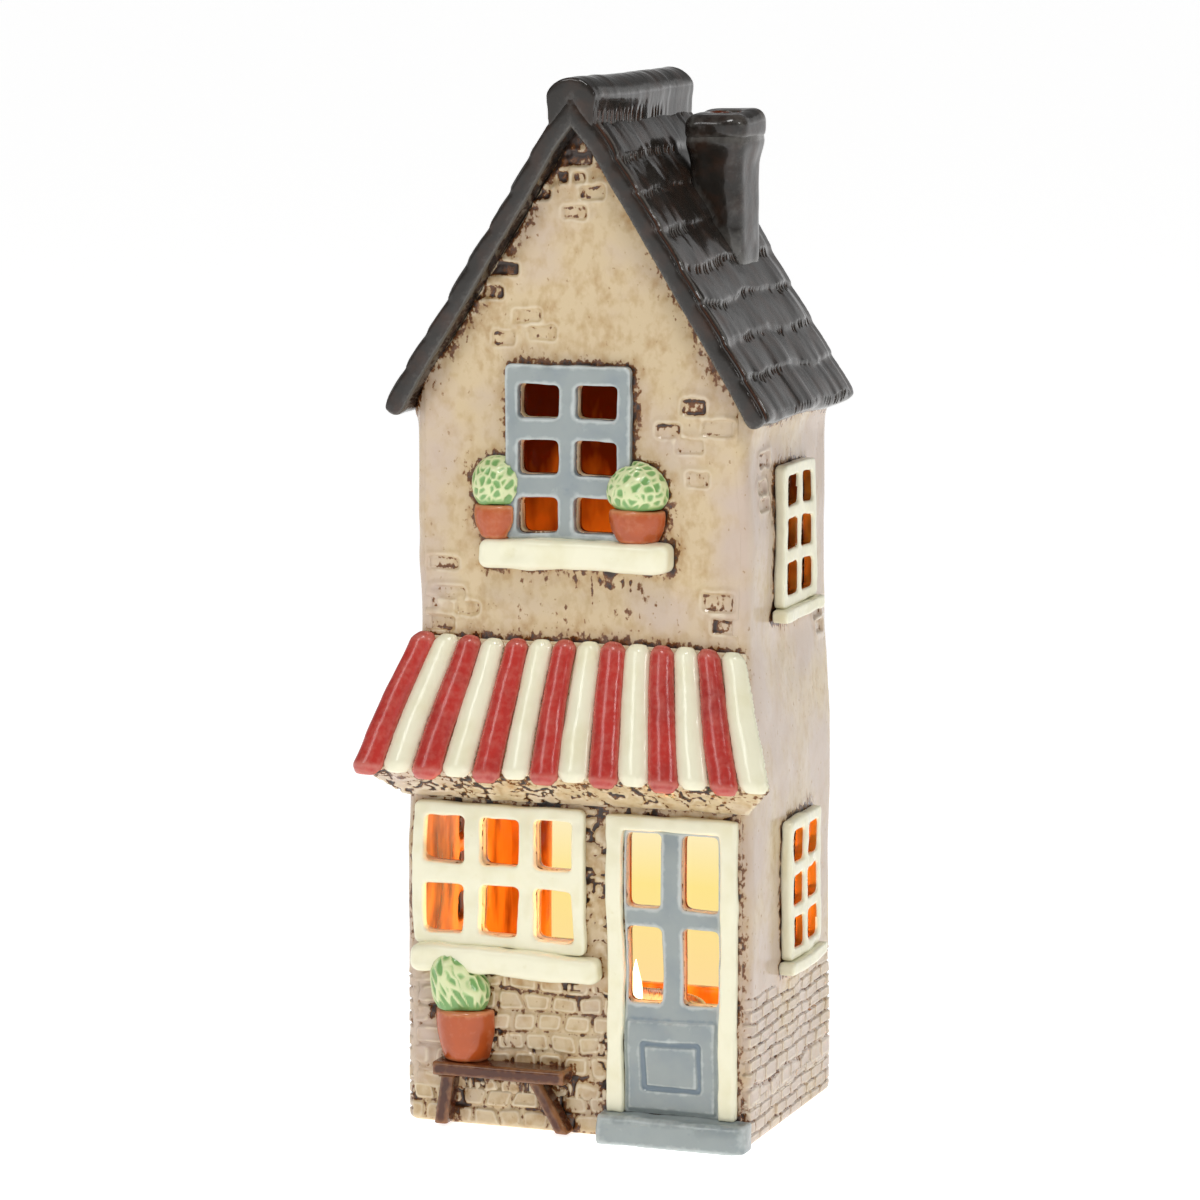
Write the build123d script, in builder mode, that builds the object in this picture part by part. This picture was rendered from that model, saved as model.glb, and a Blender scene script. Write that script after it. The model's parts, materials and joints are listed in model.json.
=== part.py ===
from build123d import *
import math
import os

# A slab-built ceramic shop-house for a tealight, in millimetres.
# x runs to the right, y to the back and z up; the origin is the middle of the underside.

# Walls and floor
shop_width = 90.0
shop_depth = 68.5
upper_side_inset = 2.0
upper_front_inset = 4.1
wall = 4.0
corner_radius = 3.5
floor_thickness = 11.5
foot_chamfer = 0.8

# Roof of two tiled slabs and a ridge roll
eave_z = 180.0
roof_pitch = 58.3
roof_thickness = 4.2
verge_overhang = 6.4
rear_overhang = 3.2
eave_overhang = 1.6
eave_nose = 1.8
eave_cove_height = 6.5
tile_courses = 8
tile_step = 1.1
tile_swell = 0.4
ridge_reach = 2.4
ridge_lip = 2.0
ridge_crown = 2.45
ridge_lip_round_share = 0.35

# Chimney
chimney_width = 13.2
chimney_depth = 17.6
chimney_courses = 4
chimney_lip_gap = 0.9
chimney_back_gap = 13.6
chimney_radius = 3.0
chimney_draft = 0.8
chimney_below_ridge = 10.2
rim_height = 6.5
rim_overhang = 1.4
rim_round = 2.6
rim_foot_round_share = 0.9
flue_radius = 3.7

# Awning body and its rolled stripes
awning_lip_z = 91.0
awning_top_z = 122.0
awning_projection = 10.5
awning_flare = 9.0
awning_soffit_drop = 8.0
awning_root = 1.0
stripe_pairs = 7
stripe_gap = 0.35
stripe_end_length = 1.6
stripe_end_share = 0.6
red_share = 0.48
red_height = 2.6
red_drop = 1.8
cream_height = 1.8
cream_drop = 0.7

# Relief and rounding shared by the frames and sills
frame_relief = 2.8
frame_radius = 1.6
pane_radius = 1.2
sill_radius = 2.0
sill_round = 1.2

# Upper window and its sill
upper_window_x = -2.5
upper_window_width = 32.4
upper_window_height = 43.0
upper_window_stile = 3.4
upper_window_head = 4.8
upper_window_foot = 1.6
upper_bar = 4.2
upper_rail = 5.4
upper_sill_above_awning = 18.5
upper_sill_x = 0.1
upper_sill_width = 48.6
upper_sill_height = 7.0
upper_sill_depth = 5.6

# Shop window and its sill
shop_corner_margin = 3.1
shop_head_gap = 1.0
shop_sill_z = 39.5
shop_sill_height = 6.2
shop_sill_depth = 5.2
shop_sill_tail = 3.8
shop_stile = 3.2
shop_head = 3.4
shop_foot = 2.9
shop_bar = 4.3
shop_rail = 5.2
pier_width = 5.6

# Door, its frame and its step
door_corner_margin = 2.6
door_frame_width = 33.3
door_jamb = 4.3
door_head = 3.6
door_head_gap = 1.7
door_edge = 0.8
door_relief = 1.3
door_glass_z = 34.8
door_bar = 5.3
door_rail = 4.5
door_ledge = 4.3
door_ledge_relief = 0.5
door_ledge_margin = 1.3
door_panel_width = 15.6
door_panel_height = 12.8
door_panel_z = 13.0
door_groove_width = 1.4
door_groove_depth = 0.7
step_height = 7.2
step_depth = 7.0
step_left_overhang = 1.3
step_right_overhang = 3.9
step_round = 1.6

# Bench
bench_margin = 9.8
bench_step_gap = 8.3
bench_seat_z = 13.6
bench_seat_thickness = 3.6
bench_depth = 7.2
bench_round = 1.0
bench_leg_depth = 5.4
bench_leg_width = 3.5
bench_foot_z = 0.8
bench_left_leg_inset = 1.6
bench_left_splay = 1.9
bench_right_leg_inset = 6.6
bench_right_splay = 7.2

# Pots and bushes, half sunk in the wall
pot_sink = 0.4
pot_taper = 0.82
pot_belly = 0.5
pot_foot_round = 1.4
pot_rim_round = 0.5
bush_foot_share = 0.78
left_pot_inset = 3.3
left_pot_radius = 5.9
left_bush_radius = 6.9
right_pot_inset = 9.3
right_pot_radius = 7.0
right_bush_radius = 7.8
window_pot_height = 8.1
window_bush_height = 12.0
bench_pot_inset = 7.0
bench_pot_radius = 7.5
bench_pot_height = 12.8
bench_bush_radius = 5.8
bench_bush_height = 14.8
bench_bush_lean = 2.8
bench_low_bush_radius = 4.7
bench_low_bush_height = 9.6
bench_low_bush_shift = 2.0
bench_bush_forward = 2.0

# Side windows and their sills
side_window_y = 3.0
side_window_width = 26.0
side_window_height = 35.0
side_stile = 2.9
side_bar = 2.8
side_rail = 3.2
side_lower_sill_z = 38.6
side_upper_sill_above_awning = 4.5
side_sill_height = 3.4
side_sill_tail = 1.6
side_sill_depth = 4.2
side_sill_radius = 1.2

# Opening in the rear wall that the tealight goes through
rear_sill_z = 24.5
rear_opening_width = 62.0
rear_opening_height = 73.5
rear_top_radius = 18.0
rear_sill_radius = 5.0

# Tealight
tealight_radius = 19.25
tealight_height = 16.0
tealight_front_gap = 4.0
tealight_x = 4.6
cup_wall = 0.4
wax_height = 11.6
wax_clearance = 0.1
wax_dip = 1.2
wax_pool_share = 0.75
wick_radius = 0.8
wick_stand = 4.0
sustainer_radius = 7.0
sustainer_thickness = 0.3
collar_radius = 1.4
collar_height = 3.0

# Places that follow from the sizes above
half_shop = shop_width / 2
half_upper = half_shop - upper_side_inset
inner_shop = half_shop - wall
inner_upper = half_upper - wall
front_y = -shop_depth / 2
back_y = shop_depth / 2
upper_front_y = front_y + upper_front_inset
upper_depth = back_y - upper_front_y
upper_middle_y = (back_y + upper_front_y) / 2
floor_z = floor_thickness

pitch = math.radians(roof_pitch)
gable_z = eave_z + half_upper * math.tan(pitch)
inner_eave_z = gable_z - inner_upper * math.tan(pitch)
roof_end_x = half_upper + eave_overhang
roof_end_z = gable_z - roof_end_x * math.tan(pitch)
slope_length = roof_end_x / math.cos(pitch)
tile_course = (slope_length - ridge_reach) / tile_courses
tile_lip_out = roof_thickness + tile_step
roof_front_y = upper_front_y - verge_overhang
roof_back_y = back_y + rear_overhang
roof_length = roof_back_y - roof_front_y
ridge_z = gable_z + roof_thickness / math.cos(pitch)
ridge_top_z = ridge_z + ridge_crown
chimney_y = roof_back_y - chimney_back_gap - chimney_depth / 2
chimney_top_z = ridge_top_z - chimney_below_ridge
stack_top_z = chimney_top_z - rim_height

awning_front_y = front_y - awning_projection
awning_soffit_z = awning_lip_z - awning_soffit_drop
half_lip = half_shop + awning_flare

upper_sill_z = awning_top_z + upper_sill_above_awning
upper_sill_top = upper_sill_z + upper_sill_height
upper_sill_left = upper_sill_x - upper_sill_width / 2
upper_sill_right = upper_sill_x + upper_sill_width / 2
left_pot_x = upper_sill_left + left_pot_inset
right_pot_x = upper_sill_right - right_pot_inset
door_right = half_shop - door_corner_margin
door_left = door_right - door_frame_width
door_x = (door_left + door_right) / 2
door_width = door_frame_width - 2 * door_jamb
door_frame_top = awning_soffit_z - door_head_gap
door_top = door_frame_top - door_head
shop_left = -half_shop + shop_corner_margin
shop_right = door_left - pier_width
shop_x = (shop_left + shop_right) / 2
shop_bottom = shop_sill_z + shop_sill_height
shop_top = awning_soffit_z - shop_head_gap
step_left = door_left - step_left_overhang
step_right = door_right + step_right_overhang
bench_left = -half_shop + bench_margin
bench_right = step_left - bench_step_gap
bench_pot_x = bench_left + bench_pot_inset
bench_top = bench_seat_z + bench_seat_thickness
side_sill_tops = {
    "lower": side_lower_sill_z + side_sill_height,
    "upper": awning_top_z + side_upper_sill_above_awning + side_sill_height,
}
side_wall_x = {"lower": half_shop, "upper": half_upper}
tealight_y = front_y + wall + tealight_front_gap + tealight_radius

# Planes of the outside of the front walls; their normals point to the front
shop_front = Plane.XZ.offset(-front_y)
upper_front = Plane.XZ.offset(-upper_front_y)

# Outline between the side walls, from the floor to the gable, that the front and rear walls fill
gable_outline = (
    (-inner_shop, floor_z),
    (-inner_shop, awning_lip_z),
    (-inner_upper, awning_top_z),
    (-inner_upper, inner_eave_z),
    (0, gable_z),
    (inner_upper, inner_eave_z),
    (inner_upper, awning_top_z),
    (inner_shop, awning_lip_z),
    (inner_shop, floor_z),
)

os.makedirs("parts", exist_ok=True)


def save(piece, name):
    """Label a finished piece and write it as its own file."""
    piece.label = name
    export_step(piece, "parts/" + name + ".step")


def slope_point(side, along, out):
    """Give x and z of a point on a roof slope, from the gable down along it and out from its underside."""
    x = side * (along * math.cos(pitch) + out * math.sin(pitch))
    z = gable_z - along * math.sin(pitch) + out * math.cos(pitch)
    return x, z


def pane_grid(width, height, columns, rows, bar, rail, mode=Mode.ADD):
    """Draw rows and columns of panes about the current location."""
    pane_width = (width - (columns - 1) * bar) / columns
    pane_height = (height - (rows - 1) * rail) / rows
    with GridLocations(pane_width + bar, pane_height + rail, columns, rows):
        RectangleRounded(pane_width, pane_height, pane_radius, mode=mode)


def upper_panes():
    """Draw the six panes of the upper window."""
    low = upper_sill_top + upper_window_foot
    high = upper_sill_top + upper_window_height - upper_window_head
    width = upper_window_width - 2 * upper_window_stile
    with Locations((upper_window_x, (low + high) / 2)):
        pane_grid(width, high - low, 2, 3, upper_bar, upper_rail)


def shop_panes():
    """Draw the six panes of the shop window."""
    low = shop_bottom + shop_foot
    high = shop_top - shop_head
    width = shop_right - shop_left - 2 * shop_stile
    with Locations((shop_x, (low + high) / 2)):
        pane_grid(width, high - low, 3, 2, shop_bar, shop_rail)


def door_panes(mode=Mode.ADD):
    """Draw the four panes of the door."""
    high = door_top - door_edge
    width = door_width - 2 * door_edge
    with Locations((door_x, (door_glass_z + high) / 2)):
        pane_grid(width, high - door_glass_z, 2, 2, door_bar, door_rail, mode)


def side_panes(sill_top, mode=Mode.ADD):
    """Draw the six panes of a side window."""
    width = side_window_width - 2 * side_stile
    height = side_window_height - 2 * side_stile
    with Locations((side_window_y, sill_top + side_window_height / 2)):
        pane_grid(width, height, 2, 3, side_bar, side_rail, mode)


# Rounded outside of the two storeys, which trims the corners of the side walls
with BuildPart() as envelope:
    with BuildSketch():
        RectangleRounded(shop_width, shop_depth, corner_radius)
    extrude(amount=awning_lip_z)
    with BuildSketch(Plane.XY.offset(awning_lip_z)):
        RectangleRounded(shop_width, shop_depth, corner_radius)
    with BuildSketch(Plane.XY.offset(awning_top_z)):
        with Locations((0, upper_middle_y)):
            RectangleRounded(2 * half_upper, upper_depth, corner_radius)
    loft(ruled=True)
    with BuildSketch(Plane.XY.offset(awning_top_z)):
        with Locations((0, upper_middle_y)):
            RectangleRounded(2 * half_upper, upper_depth, corner_radius)
    extrude(amount=gable_z - awning_top_z)

# Base slab: the floor under the tealight and the face that the house stands on
with BuildPart() as base_slab:
    with BuildSketch():
        RectangleRounded(shop_width, shop_depth, corner_radius)
    extrude(amount=floor_thickness)
    chamfer(base_slab.faces().sort_by(Axis.Z)[0].edges(), foot_chamfer)
save(base_slab.part, "base_slab")


def side_wall(side):
    """Make a side wall: two storeys, a shoulder between them, a cove under the eave and two windows."""
    with BuildPart() as slab:
        with BuildSketch(Plane.XZ):
            with BuildLine():
                Polyline(
                    (side * inner_shop, floor_z),
                    (side * half_shop, floor_z),
                    (side * half_shop, awning_lip_z),
                    (side * half_upper, awning_top_z),
                    (side * half_upper, eave_z),
                    (side * inner_upper, inner_eave_z),
                    (side * inner_upper, awning_top_z),
                    (side * inner_shop, awning_lip_z),
                    close=True,
                )
            make_face()
        extrude(amount=shop_depth, both=True)
        add(envelope.part, mode=Mode.INTERSECT)
        cove_foot = (side * half_upper, roof_end_z - eave_cove_height)
        cove_tip = (side * roof_end_x, roof_end_z)
        with BuildSketch(Plane.XZ.offset(-upper_front_y - corner_radius)):
            with BuildLine():
                TangentArc(cove_foot, cove_tip, tangent=(0, 1))
                Polyline(cove_tip, (side * half_upper, eave_z), cove_foot)
            make_face()
        extrude(amount=2 * corner_radius - upper_depth)
        for sill_top in side_sill_tops.values():
            with BuildSketch(Plane.YZ):
                side_panes(sill_top)
            extrude(amount=side * shop_width, mode=Mode.SUBTRACT)
    return slab.part


save(side_wall(-1), "left_wall")
save(side_wall(1), "right_wall")

# Front wall: shop front, shoulder behind the awning, upper storey and gable
with BuildPart() as front_wall:
    with BuildSketch(Plane.YZ):
        with BuildLine():
            Polyline(
                (front_y, floor_z),
                (front_y, awning_lip_z),
                (upper_front_y, awning_top_z),
                (upper_front_y, gable_z),
                (upper_front_y + wall, gable_z),
                (upper_front_y + wall, awning_top_z),
                (front_y + wall, awning_lip_z),
                (front_y + wall, floor_z),
                close=True,
            )
        make_face()
    extrude(amount=half_shop, both=True)
    with BuildSketch(Plane.XZ):
        with BuildLine():
            Polyline(*gable_outline, close=True)
        make_face()
    extrude(amount=shop_depth, both=True, mode=Mode.INTERSECT)
    with BuildSketch(upper_front):
        upper_panes()
    extrude(amount=-2 * wall, mode=Mode.SUBTRACT)
    with BuildSketch(shop_front):
        shop_panes()
        door_panes()
    extrude(amount=-2 * wall, mode=Mode.SUBTRACT)
save(front_wall.part, "front_wall")

# Rear wall, with the large opening and the sill that keeps the tealight in
with BuildPart() as rear_wall:
    with BuildSketch(Plane.XZ.offset(-back_y)):
        with BuildLine():
            Polyline(*gable_outline, close=True)
        make_face()
    extrude(amount=wall)
    with BuildSketch(Plane.XZ.offset(-back_y)) as rear_opening:
        with Locations((0, rear_sill_z)):
            Rectangle(rear_opening_width, rear_opening_height, align=(Align.CENTER, Align.MIN))
        fillet(rear_opening.vertices().group_by(Axis.Y)[-1], rear_top_radius)
        fillet(rear_opening.vertices().group_by(Axis.Y)[0], rear_sill_radius)
    extrude(amount=wall, mode=Mode.SUBTRACT)
save(rear_wall.part, "rear_wall")


def tile_slab(side):
    """Make one roof slope: a slab mitred at the ridge whose outside is stepped into swelling tile courses."""
    start_y = roof_back_y if side > 0 else roof_front_y
    slope = Plane(
        origin=(0, start_y, gable_z),
        x_dir=(side * math.cos(pitch), 0, -math.sin(pitch)),
        z_dir=(0, -side, 0),
    )
    mitre = (-roof_thickness * math.tan(pitch), roof_thickness)
    swell_out = roof_thickness + tile_step / 2 + tile_swell
    with BuildPart() as slab:
        with BuildSketch(slope):
            with BuildLine():
                Polyline((slope_length, 0), (0, 0), mitre, (ridge_reach, roof_thickness))
                for row in range(tile_courses):
                    head = ridge_reach + row * tile_course
                    crown = (head + tile_course / 2, swell_out)
                    lip = head + tile_course
                    ThreePointArc((head, roof_thickness), crown, (lip, tile_lip_out))
                    if row < tile_courses - 1:
                        Line((lip, tile_lip_out), (lip, roof_thickness))
                nose = (slope_length + eave_nose, tile_lip_out / 2)
                ThreePointArc((slope_length, tile_lip_out), nose, (slope_length, 0))
            make_face()
        extrude(amount=roof_length)
    return slab.part


save(tile_slab(-1), "roof_left")

# The chimney's lower face stands just past the lip of a tile course
chimney_lip_x = slope_point(1, ridge_reach + chimney_courses * tile_course, tile_lip_out)[0]
chimney_x = chimney_lip_x + chimney_lip_gap - chimney_width / 2

# Right slope, pierced under the chimney
right_slab = tile_slab(1)
with BuildPart() as roof_right:
    add(right_slab)
    with BuildSketch(Plane.XY.offset(eave_z)):
        with Locations((chimney_x, chimney_y)):
            Circle(flue_radius)
    extrude(amount=ridge_top_z - eave_z, mode=Mode.SUBTRACT)
save(roof_right.part, "roof_right")

# Ridge roll, a round-backed coil that straddles the two slopes
with BuildPart() as ridge_roll:
    left_lip = slope_point(-1, ridge_reach, roof_thickness + ridge_lip)
    left_seat = slope_point(-1, ridge_reach, roof_thickness)
    right_lip = slope_point(1, ridge_reach, roof_thickness + ridge_lip)
    right_seat = slope_point(1, ridge_reach, roof_thickness)
    with BuildSketch(Plane.XZ.offset(-roof_front_y)):
        with BuildLine():
            Polyline(left_lip, left_seat, (0, ridge_z), right_seat, right_lip)
            ThreePointArc(right_lip, (0, ridge_top_z), left_lip)
        make_face()
    extrude(amount=-roof_length)
    lip_edges = ridge_roll.edges().filter_by(Axis.Y).group_by(Axis.X)
    fillet(lip_edges[0] + lip_edges[-1], ridge_lip * ridge_lip_round_share)
save(ridge_roll.part, "ridge_roll")

# Chimney stack, a little narrower at its foot, scribed to the tiles it stands on
with BuildPart() as chimney_stack:
    foot_out = roof_thickness / 2
    foot_width = chimney_width - 2 * chimney_draft
    foot_depth = chimney_depth - 2 * chimney_draft
    foot_x, foot_z = slope_point(1, 0, foot_out)
    low_z = slope_point(1, (chimney_x + chimney_width) / math.cos(pitch), 0)[1]
    with BuildSketch(Plane.XY.offset(low_z)):
        with Locations((chimney_x, chimney_y)):
            RectangleRounded(foot_width, foot_depth, chimney_radius)
    with BuildSketch(Plane.XY.offset(stack_top_z)):
        with Locations((chimney_x, chimney_y)):
            RectangleRounded(chimney_width, chimney_depth, chimney_radius)
    loft(ruled=True)
    foot_plane = Plane(origin=(foot_x, 0, foot_z), z_dir=(math.sin(pitch), 0, math.cos(pitch)))
    split(bisect_by=foot_plane, keep=Keep.TOP)
    add(right_slab, mode=Mode.SUBTRACT)
    with BuildSketch(Plane.XY.offset(low_z)):
        with Locations((chimney_x, chimney_y)):
            Circle(flue_radius)
    extrude(amount=stack_top_z - low_z, mode=Mode.SUBTRACT)
save(chimney_stack.part, "chimney_stack")

# Chimney rim, a soft square ring round the flue
with BuildPart() as chimney_rim:
    rim_width = chimney_width + 2 * rim_overhang
    rim_depth = chimney_depth + 2 * rim_overhang
    with BuildSketch(Plane.XY.offset(stack_top_z)):
        with Locations((chimney_x, chimney_y)):
            RectangleRounded(rim_width, rim_depth, chimney_radius + rim_overhang)
    extrude(amount=rim_height)
    fillet(chimney_rim.faces().sort_by(Axis.Z)[-1].edges(), rim_round)
    fillet(chimney_rim.faces().sort_by(Axis.Z)[0].edges(), rim_overhang * rim_foot_round_share)
    with BuildSketch(Plane.XY.offset(stack_top_z)):
        with Locations((chimney_x, chimney_y)):
            Circle(flue_radius)
    extrude(amount=rim_height, mode=Mode.SUBTRACT)
save(chimney_rim.part, "chimney_rim")


def canopy_plan(half_front, near_y, half_back, far_y):
    """Draw a level section through the awning, from its front edge to the wall."""
    Polygon((-half_front, near_y), (half_front, near_y), (half_back, far_y), (-half_back, far_y), align=None)


# Awning body: soffit out to the lip, then the slope back to the upper wall
with BuildPart() as awning_canopy:
    with BuildSketch(Plane.XY.offset(awning_soffit_z)):
        canopy_plan(half_shop, front_y - awning_root, half_shop, front_y)
    with BuildSketch(Plane.XY.offset(awning_lip_z)):
        canopy_plan(half_lip, awning_front_y, half_shop, front_y)
    loft(ruled=True)
    with BuildSketch(Plane.XY.offset(awning_lip_z)):
        canopy_plan(half_lip, awning_front_y, half_shop, front_y)
    with BuildSketch(Plane.XY.offset(awning_top_z)):
        canopy_plan(half_upper, upper_front_y - awning_root, half_upper, upper_front_y)
    loft(ruled=True)
save(awning_canopy.part, "awning_canopy")

awning_lip = Vector(0, awning_front_y, awning_lip_z)
awning_run = Vector(0, upper_front_y - awning_root, awning_top_z) - awning_lip


def awning_stripe(left_share, right_share, height, drop):
    """Make one rolled stripe, wider at the lip than at the wall, with tapered ends."""
    stations = (
        (-drop, stripe_end_share),
        (stripe_end_length - drop, 1),
        (awning_run.length - stripe_end_length, 1),
        (awning_run.length, stripe_end_share),
    )
    with BuildPart() as stripe:
        for distance, share in stations:
            spread = half_lip + (half_upper - half_lip) * distance / awning_run.length
            left = left_share * 2 * spread - spread
            right = right_share * 2 * spread - spread
            middle = (left + right) / 2
            half_width = (right - left - stripe_gap) * share / 2
            section = Plane(
                origin=awning_lip + awning_run.normalized() * distance,
                x_dir=(1, 0, 0),
                z_dir=-awning_run.normalized(),
            )
            with BuildSketch(section):
                with BuildLine():
                    crown = (middle, height * share)
                    Line((middle - half_width, 0), (middle + half_width, 0))
                    ThreePointArc((middle + half_width, 0), crown, (middle - half_width, 0))
                make_face()
        loft(ruled=True)
    return stripe.part


red_rolls = []
cream_rolls = []
for pair in range(stripe_pairs):
    start = pair / stripe_pairs
    join = (pair + red_share) / stripe_pairs
    end = (pair + 1) / stripe_pairs
    red_rolls.append(awning_stripe(start, join, red_height, red_drop))
    cream_rolls.append(awning_stripe(join, end, cream_height, cream_drop))

with BuildPart() as awning_red_stripes:
    add(red_rolls)
save(awning_red_stripes.part, "awning_red_stripes")

with BuildPart() as awning_cream_stripes:
    add(cream_rolls)
save(awning_cream_stripes.part, "awning_cream_stripes")


def front_sill(plane, left, right, bottom, height, depth):
    """Make a soft-edged sill that stands out from a front wall."""
    with BuildPart() as sill:
        with BuildSketch(plane):
            with Locations(((left + right) / 2, bottom + height / 2)):
                RectangleRounded(right - left, height, sill_radius)
        extrude(amount=depth)
        fillet(sill.faces().sort_by(Axis.Y)[0].edges(), sill_round)
    return sill.part


# Upper window: frame with six panes, cut from a plain blank, and the sill under it
with BuildPart() as upper_window_blank:
    with BuildSketch(upper_front):
        with Locations((upper_window_x, upper_sill_top + upper_window_height / 2)):
            RectangleRounded(upper_window_width, upper_window_height, frame_radius)
    extrude(amount=frame_relief)

with BuildPart() as upper_window_frame:
    add(upper_window_blank.part)
    with BuildSketch(upper_front):
        upper_panes()
    extrude(amount=frame_relief, mode=Mode.SUBTRACT)
save(upper_window_frame.part, "upper_window_frame")

upper_window_sill = front_sill(
    upper_front, upper_sill_left, upper_sill_right, upper_sill_z, upper_sill_height, upper_sill_depth
)
save(upper_window_sill, "upper_window_sill")

# Shop window: frame with six panes, cut from a plain blank, and the sill that runs on past it
with BuildPart() as shop_window_blank:
    with BuildSketch(shop_front):
        with Locations((shop_x, (shop_bottom + shop_top) / 2)):
            RectangleRounded(shop_right - shop_left, shop_top - shop_bottom, frame_radius)
    extrude(amount=frame_relief)

with BuildPart() as shop_window_frame:
    add(shop_window_blank.part)
    with BuildSketch(shop_front):
        shop_panes()
    extrude(amount=frame_relief, mode=Mode.SUBTRACT)
save(shop_window_frame.part, "shop_window_frame")

shop_window_sill = front_sill(
    shop_front, shop_left, shop_right + shop_sill_tail, shop_sill_z, shop_sill_height, shop_sill_depth
)
save(shop_window_sill, "shop_window_sill")

# Door frame: two jambs and a head that stand on the step
with BuildPart() as door_frame:
    with BuildSketch(shop_front):
        with Locations((door_x, step_height)):
            Rectangle(door_frame_width, door_frame_top - step_height, align=(Align.CENTER, Align.MIN))
            Rectangle(door_width, door_top - step_height, align=(Align.CENTER, Align.MIN), mode=Mode.SUBTRACT)
    extrude(amount=frame_relief)
save(door_frame.part, "door_frame")

# Door leaf: four panes over a grooved panel, with a ledge between them
with BuildPart() as door_leaf:
    with BuildSketch(shop_front):
        with Locations((door_x, step_height)):
            Rectangle(door_width, door_top - step_height, align=(Align.CENTER, Align.MIN))
        door_panes(Mode.SUBTRACT)
    extrude(amount=door_relief)
    ledge_top = door_glass_z - door_ledge
    panel_middle = door_panel_z + door_panel_height / 2
    with BuildSketch(shop_front.offset(door_relief)):
        with Locations((door_x, step_height + door_ledge_margin)):
            Rectangle(
                door_width - 2 * door_ledge_margin,
                ledge_top - step_height - door_ledge_margin,
                align=(Align.CENTER, Align.MIN),
            )
    extrude(amount=door_ledge_relief)
    with BuildSketch(shop_front.offset(door_relief + door_ledge_relief)):
        with Locations((door_x, panel_middle)):
            RectangleRounded(door_panel_width, door_panel_height, pane_radius)
            Rectangle(
                door_panel_width - 2 * door_groove_width,
                door_panel_height - 2 * door_groove_width,
                mode=Mode.SUBTRACT,
            )
    extrude(amount=-door_groove_depth, mode=Mode.SUBTRACT)
save(door_leaf.part, "door_leaf")

# Door step, on the table in front of the base slab
with BuildPart() as door_step:
    with BuildSketch(shop_front):
        with Locations((step_left, 0)):
            Rectangle(step_right - step_left, step_height, align=Align.MIN)
    extrude(amount=step_depth)
    step_nose = door_step.faces().sort_by(Axis.Y)[0].edges()
    fillet(step_nose.sort_by(Axis.Z)[1:], step_round)
save(door_step.part, "door_step")

# Bench: seat and two splayed legs against the shop front
with BuildPart() as bench_seat:
    with BuildSketch(shop_front):
        with Locations((bench_left, bench_seat_z)):
            Rectangle(bench_right - bench_left, bench_seat_thickness, align=Align.MIN)
    extrude(amount=bench_depth)
    fillet(bench_seat.faces().sort_by(Axis.Y)[0].edges(), bench_round)
save(bench_seat.part, "bench_seat")


def bench_leg(top_left, splay):
    """Make a flat leg from the underside of the seat down to its splayed foot."""
    with BuildPart() as leg:
        with BuildSketch(shop_front):
            Polygon(
                (top_left, bench_seat_z),
                (top_left + bench_leg_width, bench_seat_z),
                (top_left + bench_leg_width + splay, bench_foot_z),
                (top_left + splay, bench_foot_z),
                align=None,
            )
        extrude(amount=bench_leg_depth)
        fillet(leg.faces().sort_by(Axis.Y)[0].edges().sort_by(Axis.Z)[:-1], bench_round)
    return leg.part


save(bench_leg(bench_left + bench_left_leg_inset, -bench_left_splay), "bench_left_leg")
save(bench_leg(bench_right - bench_right_leg_inset - bench_leg_width, bench_right_splay), "bench_right_leg")


def wall_pot(x, wall_y, base_z, radius, height, sink, neighbours):
    """Turn a flower pot, keep the half that stands out of the wall and scribe it to its neighbours."""
    axis_y = wall_y + sink
    clear = radius + height
    top = base_z + height
    foot_x = x + radius * pot_taper
    rim_x = x + radius
    foot_low = (foot_x - pot_foot_round, base_z)
    foot_high = (foot_x, base_z + pot_foot_round)
    belly = ((foot_x + rim_x) / 2 + pot_belly, base_z + height / 2)
    rim_low = (rim_x, top - pot_rim_round)
    rim_high = (rim_x - pot_rim_round, top)
    with BuildPart() as pot:
        with BuildSketch(Plane.XZ.offset(-axis_y)):
            with BuildLine():
                Polyline(rim_high, (x, top), (x, base_z), foot_low)
                TangentArc(foot_low, foot_high, tangent=(1, 0))
                ThreePointArc(foot_high, belly, rim_low)
                TangentArc(rim_low, rim_high, tangent=(0, 1))
            make_face()
        revolve(axis=Axis((x, axis_y, 0), (0, 0, -1)))
        with BuildSketch(Plane.XZ.offset(-wall_y)):
            with Locations((x, base_z)):
                Rectangle(2 * clear, 2 * clear)
        extrude(amount=-clear, mode=Mode.SUBTRACT)
        for neighbour in neighbours:
            add(neighbour, mode=Mode.SUBTRACT)
    return pot.part


def wall_bush(x, wall_y, base_z, radius, height, sink, neighbours):
    """Turn a clipped bush, keep what stands out of the wall and scribe it to its neighbours."""
    axis_y = wall_y + sink
    clear = radius + height
    top = base_z + height
    waist = top - radius
    foot = (x + radius * bush_foot_share, base_z)
    with BuildPart() as bush:
        with BuildSketch(Plane.XZ.offset(-axis_y)):
            with BuildLine():
                CenterArc((x, waist), radius, 0, 90)
                TangentArc((x + radius, waist), foot, tangent=(0, -1))
                Polyline(foot, (x, base_z), (x, top))
            make_face()
        revolve(axis=Axis((x, axis_y, 0), (0, 0, -1)))
        with BuildSketch(Plane.XZ.offset(-wall_y)):
            with Locations((x, base_z)):
                Rectangle(2 * clear, 2 * clear)
        extrude(amount=-clear, mode=Mode.SUBTRACT)
        for neighbour in neighbours:
            add(neighbour, mode=Mode.SUBTRACT)
    return bush.part


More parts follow.
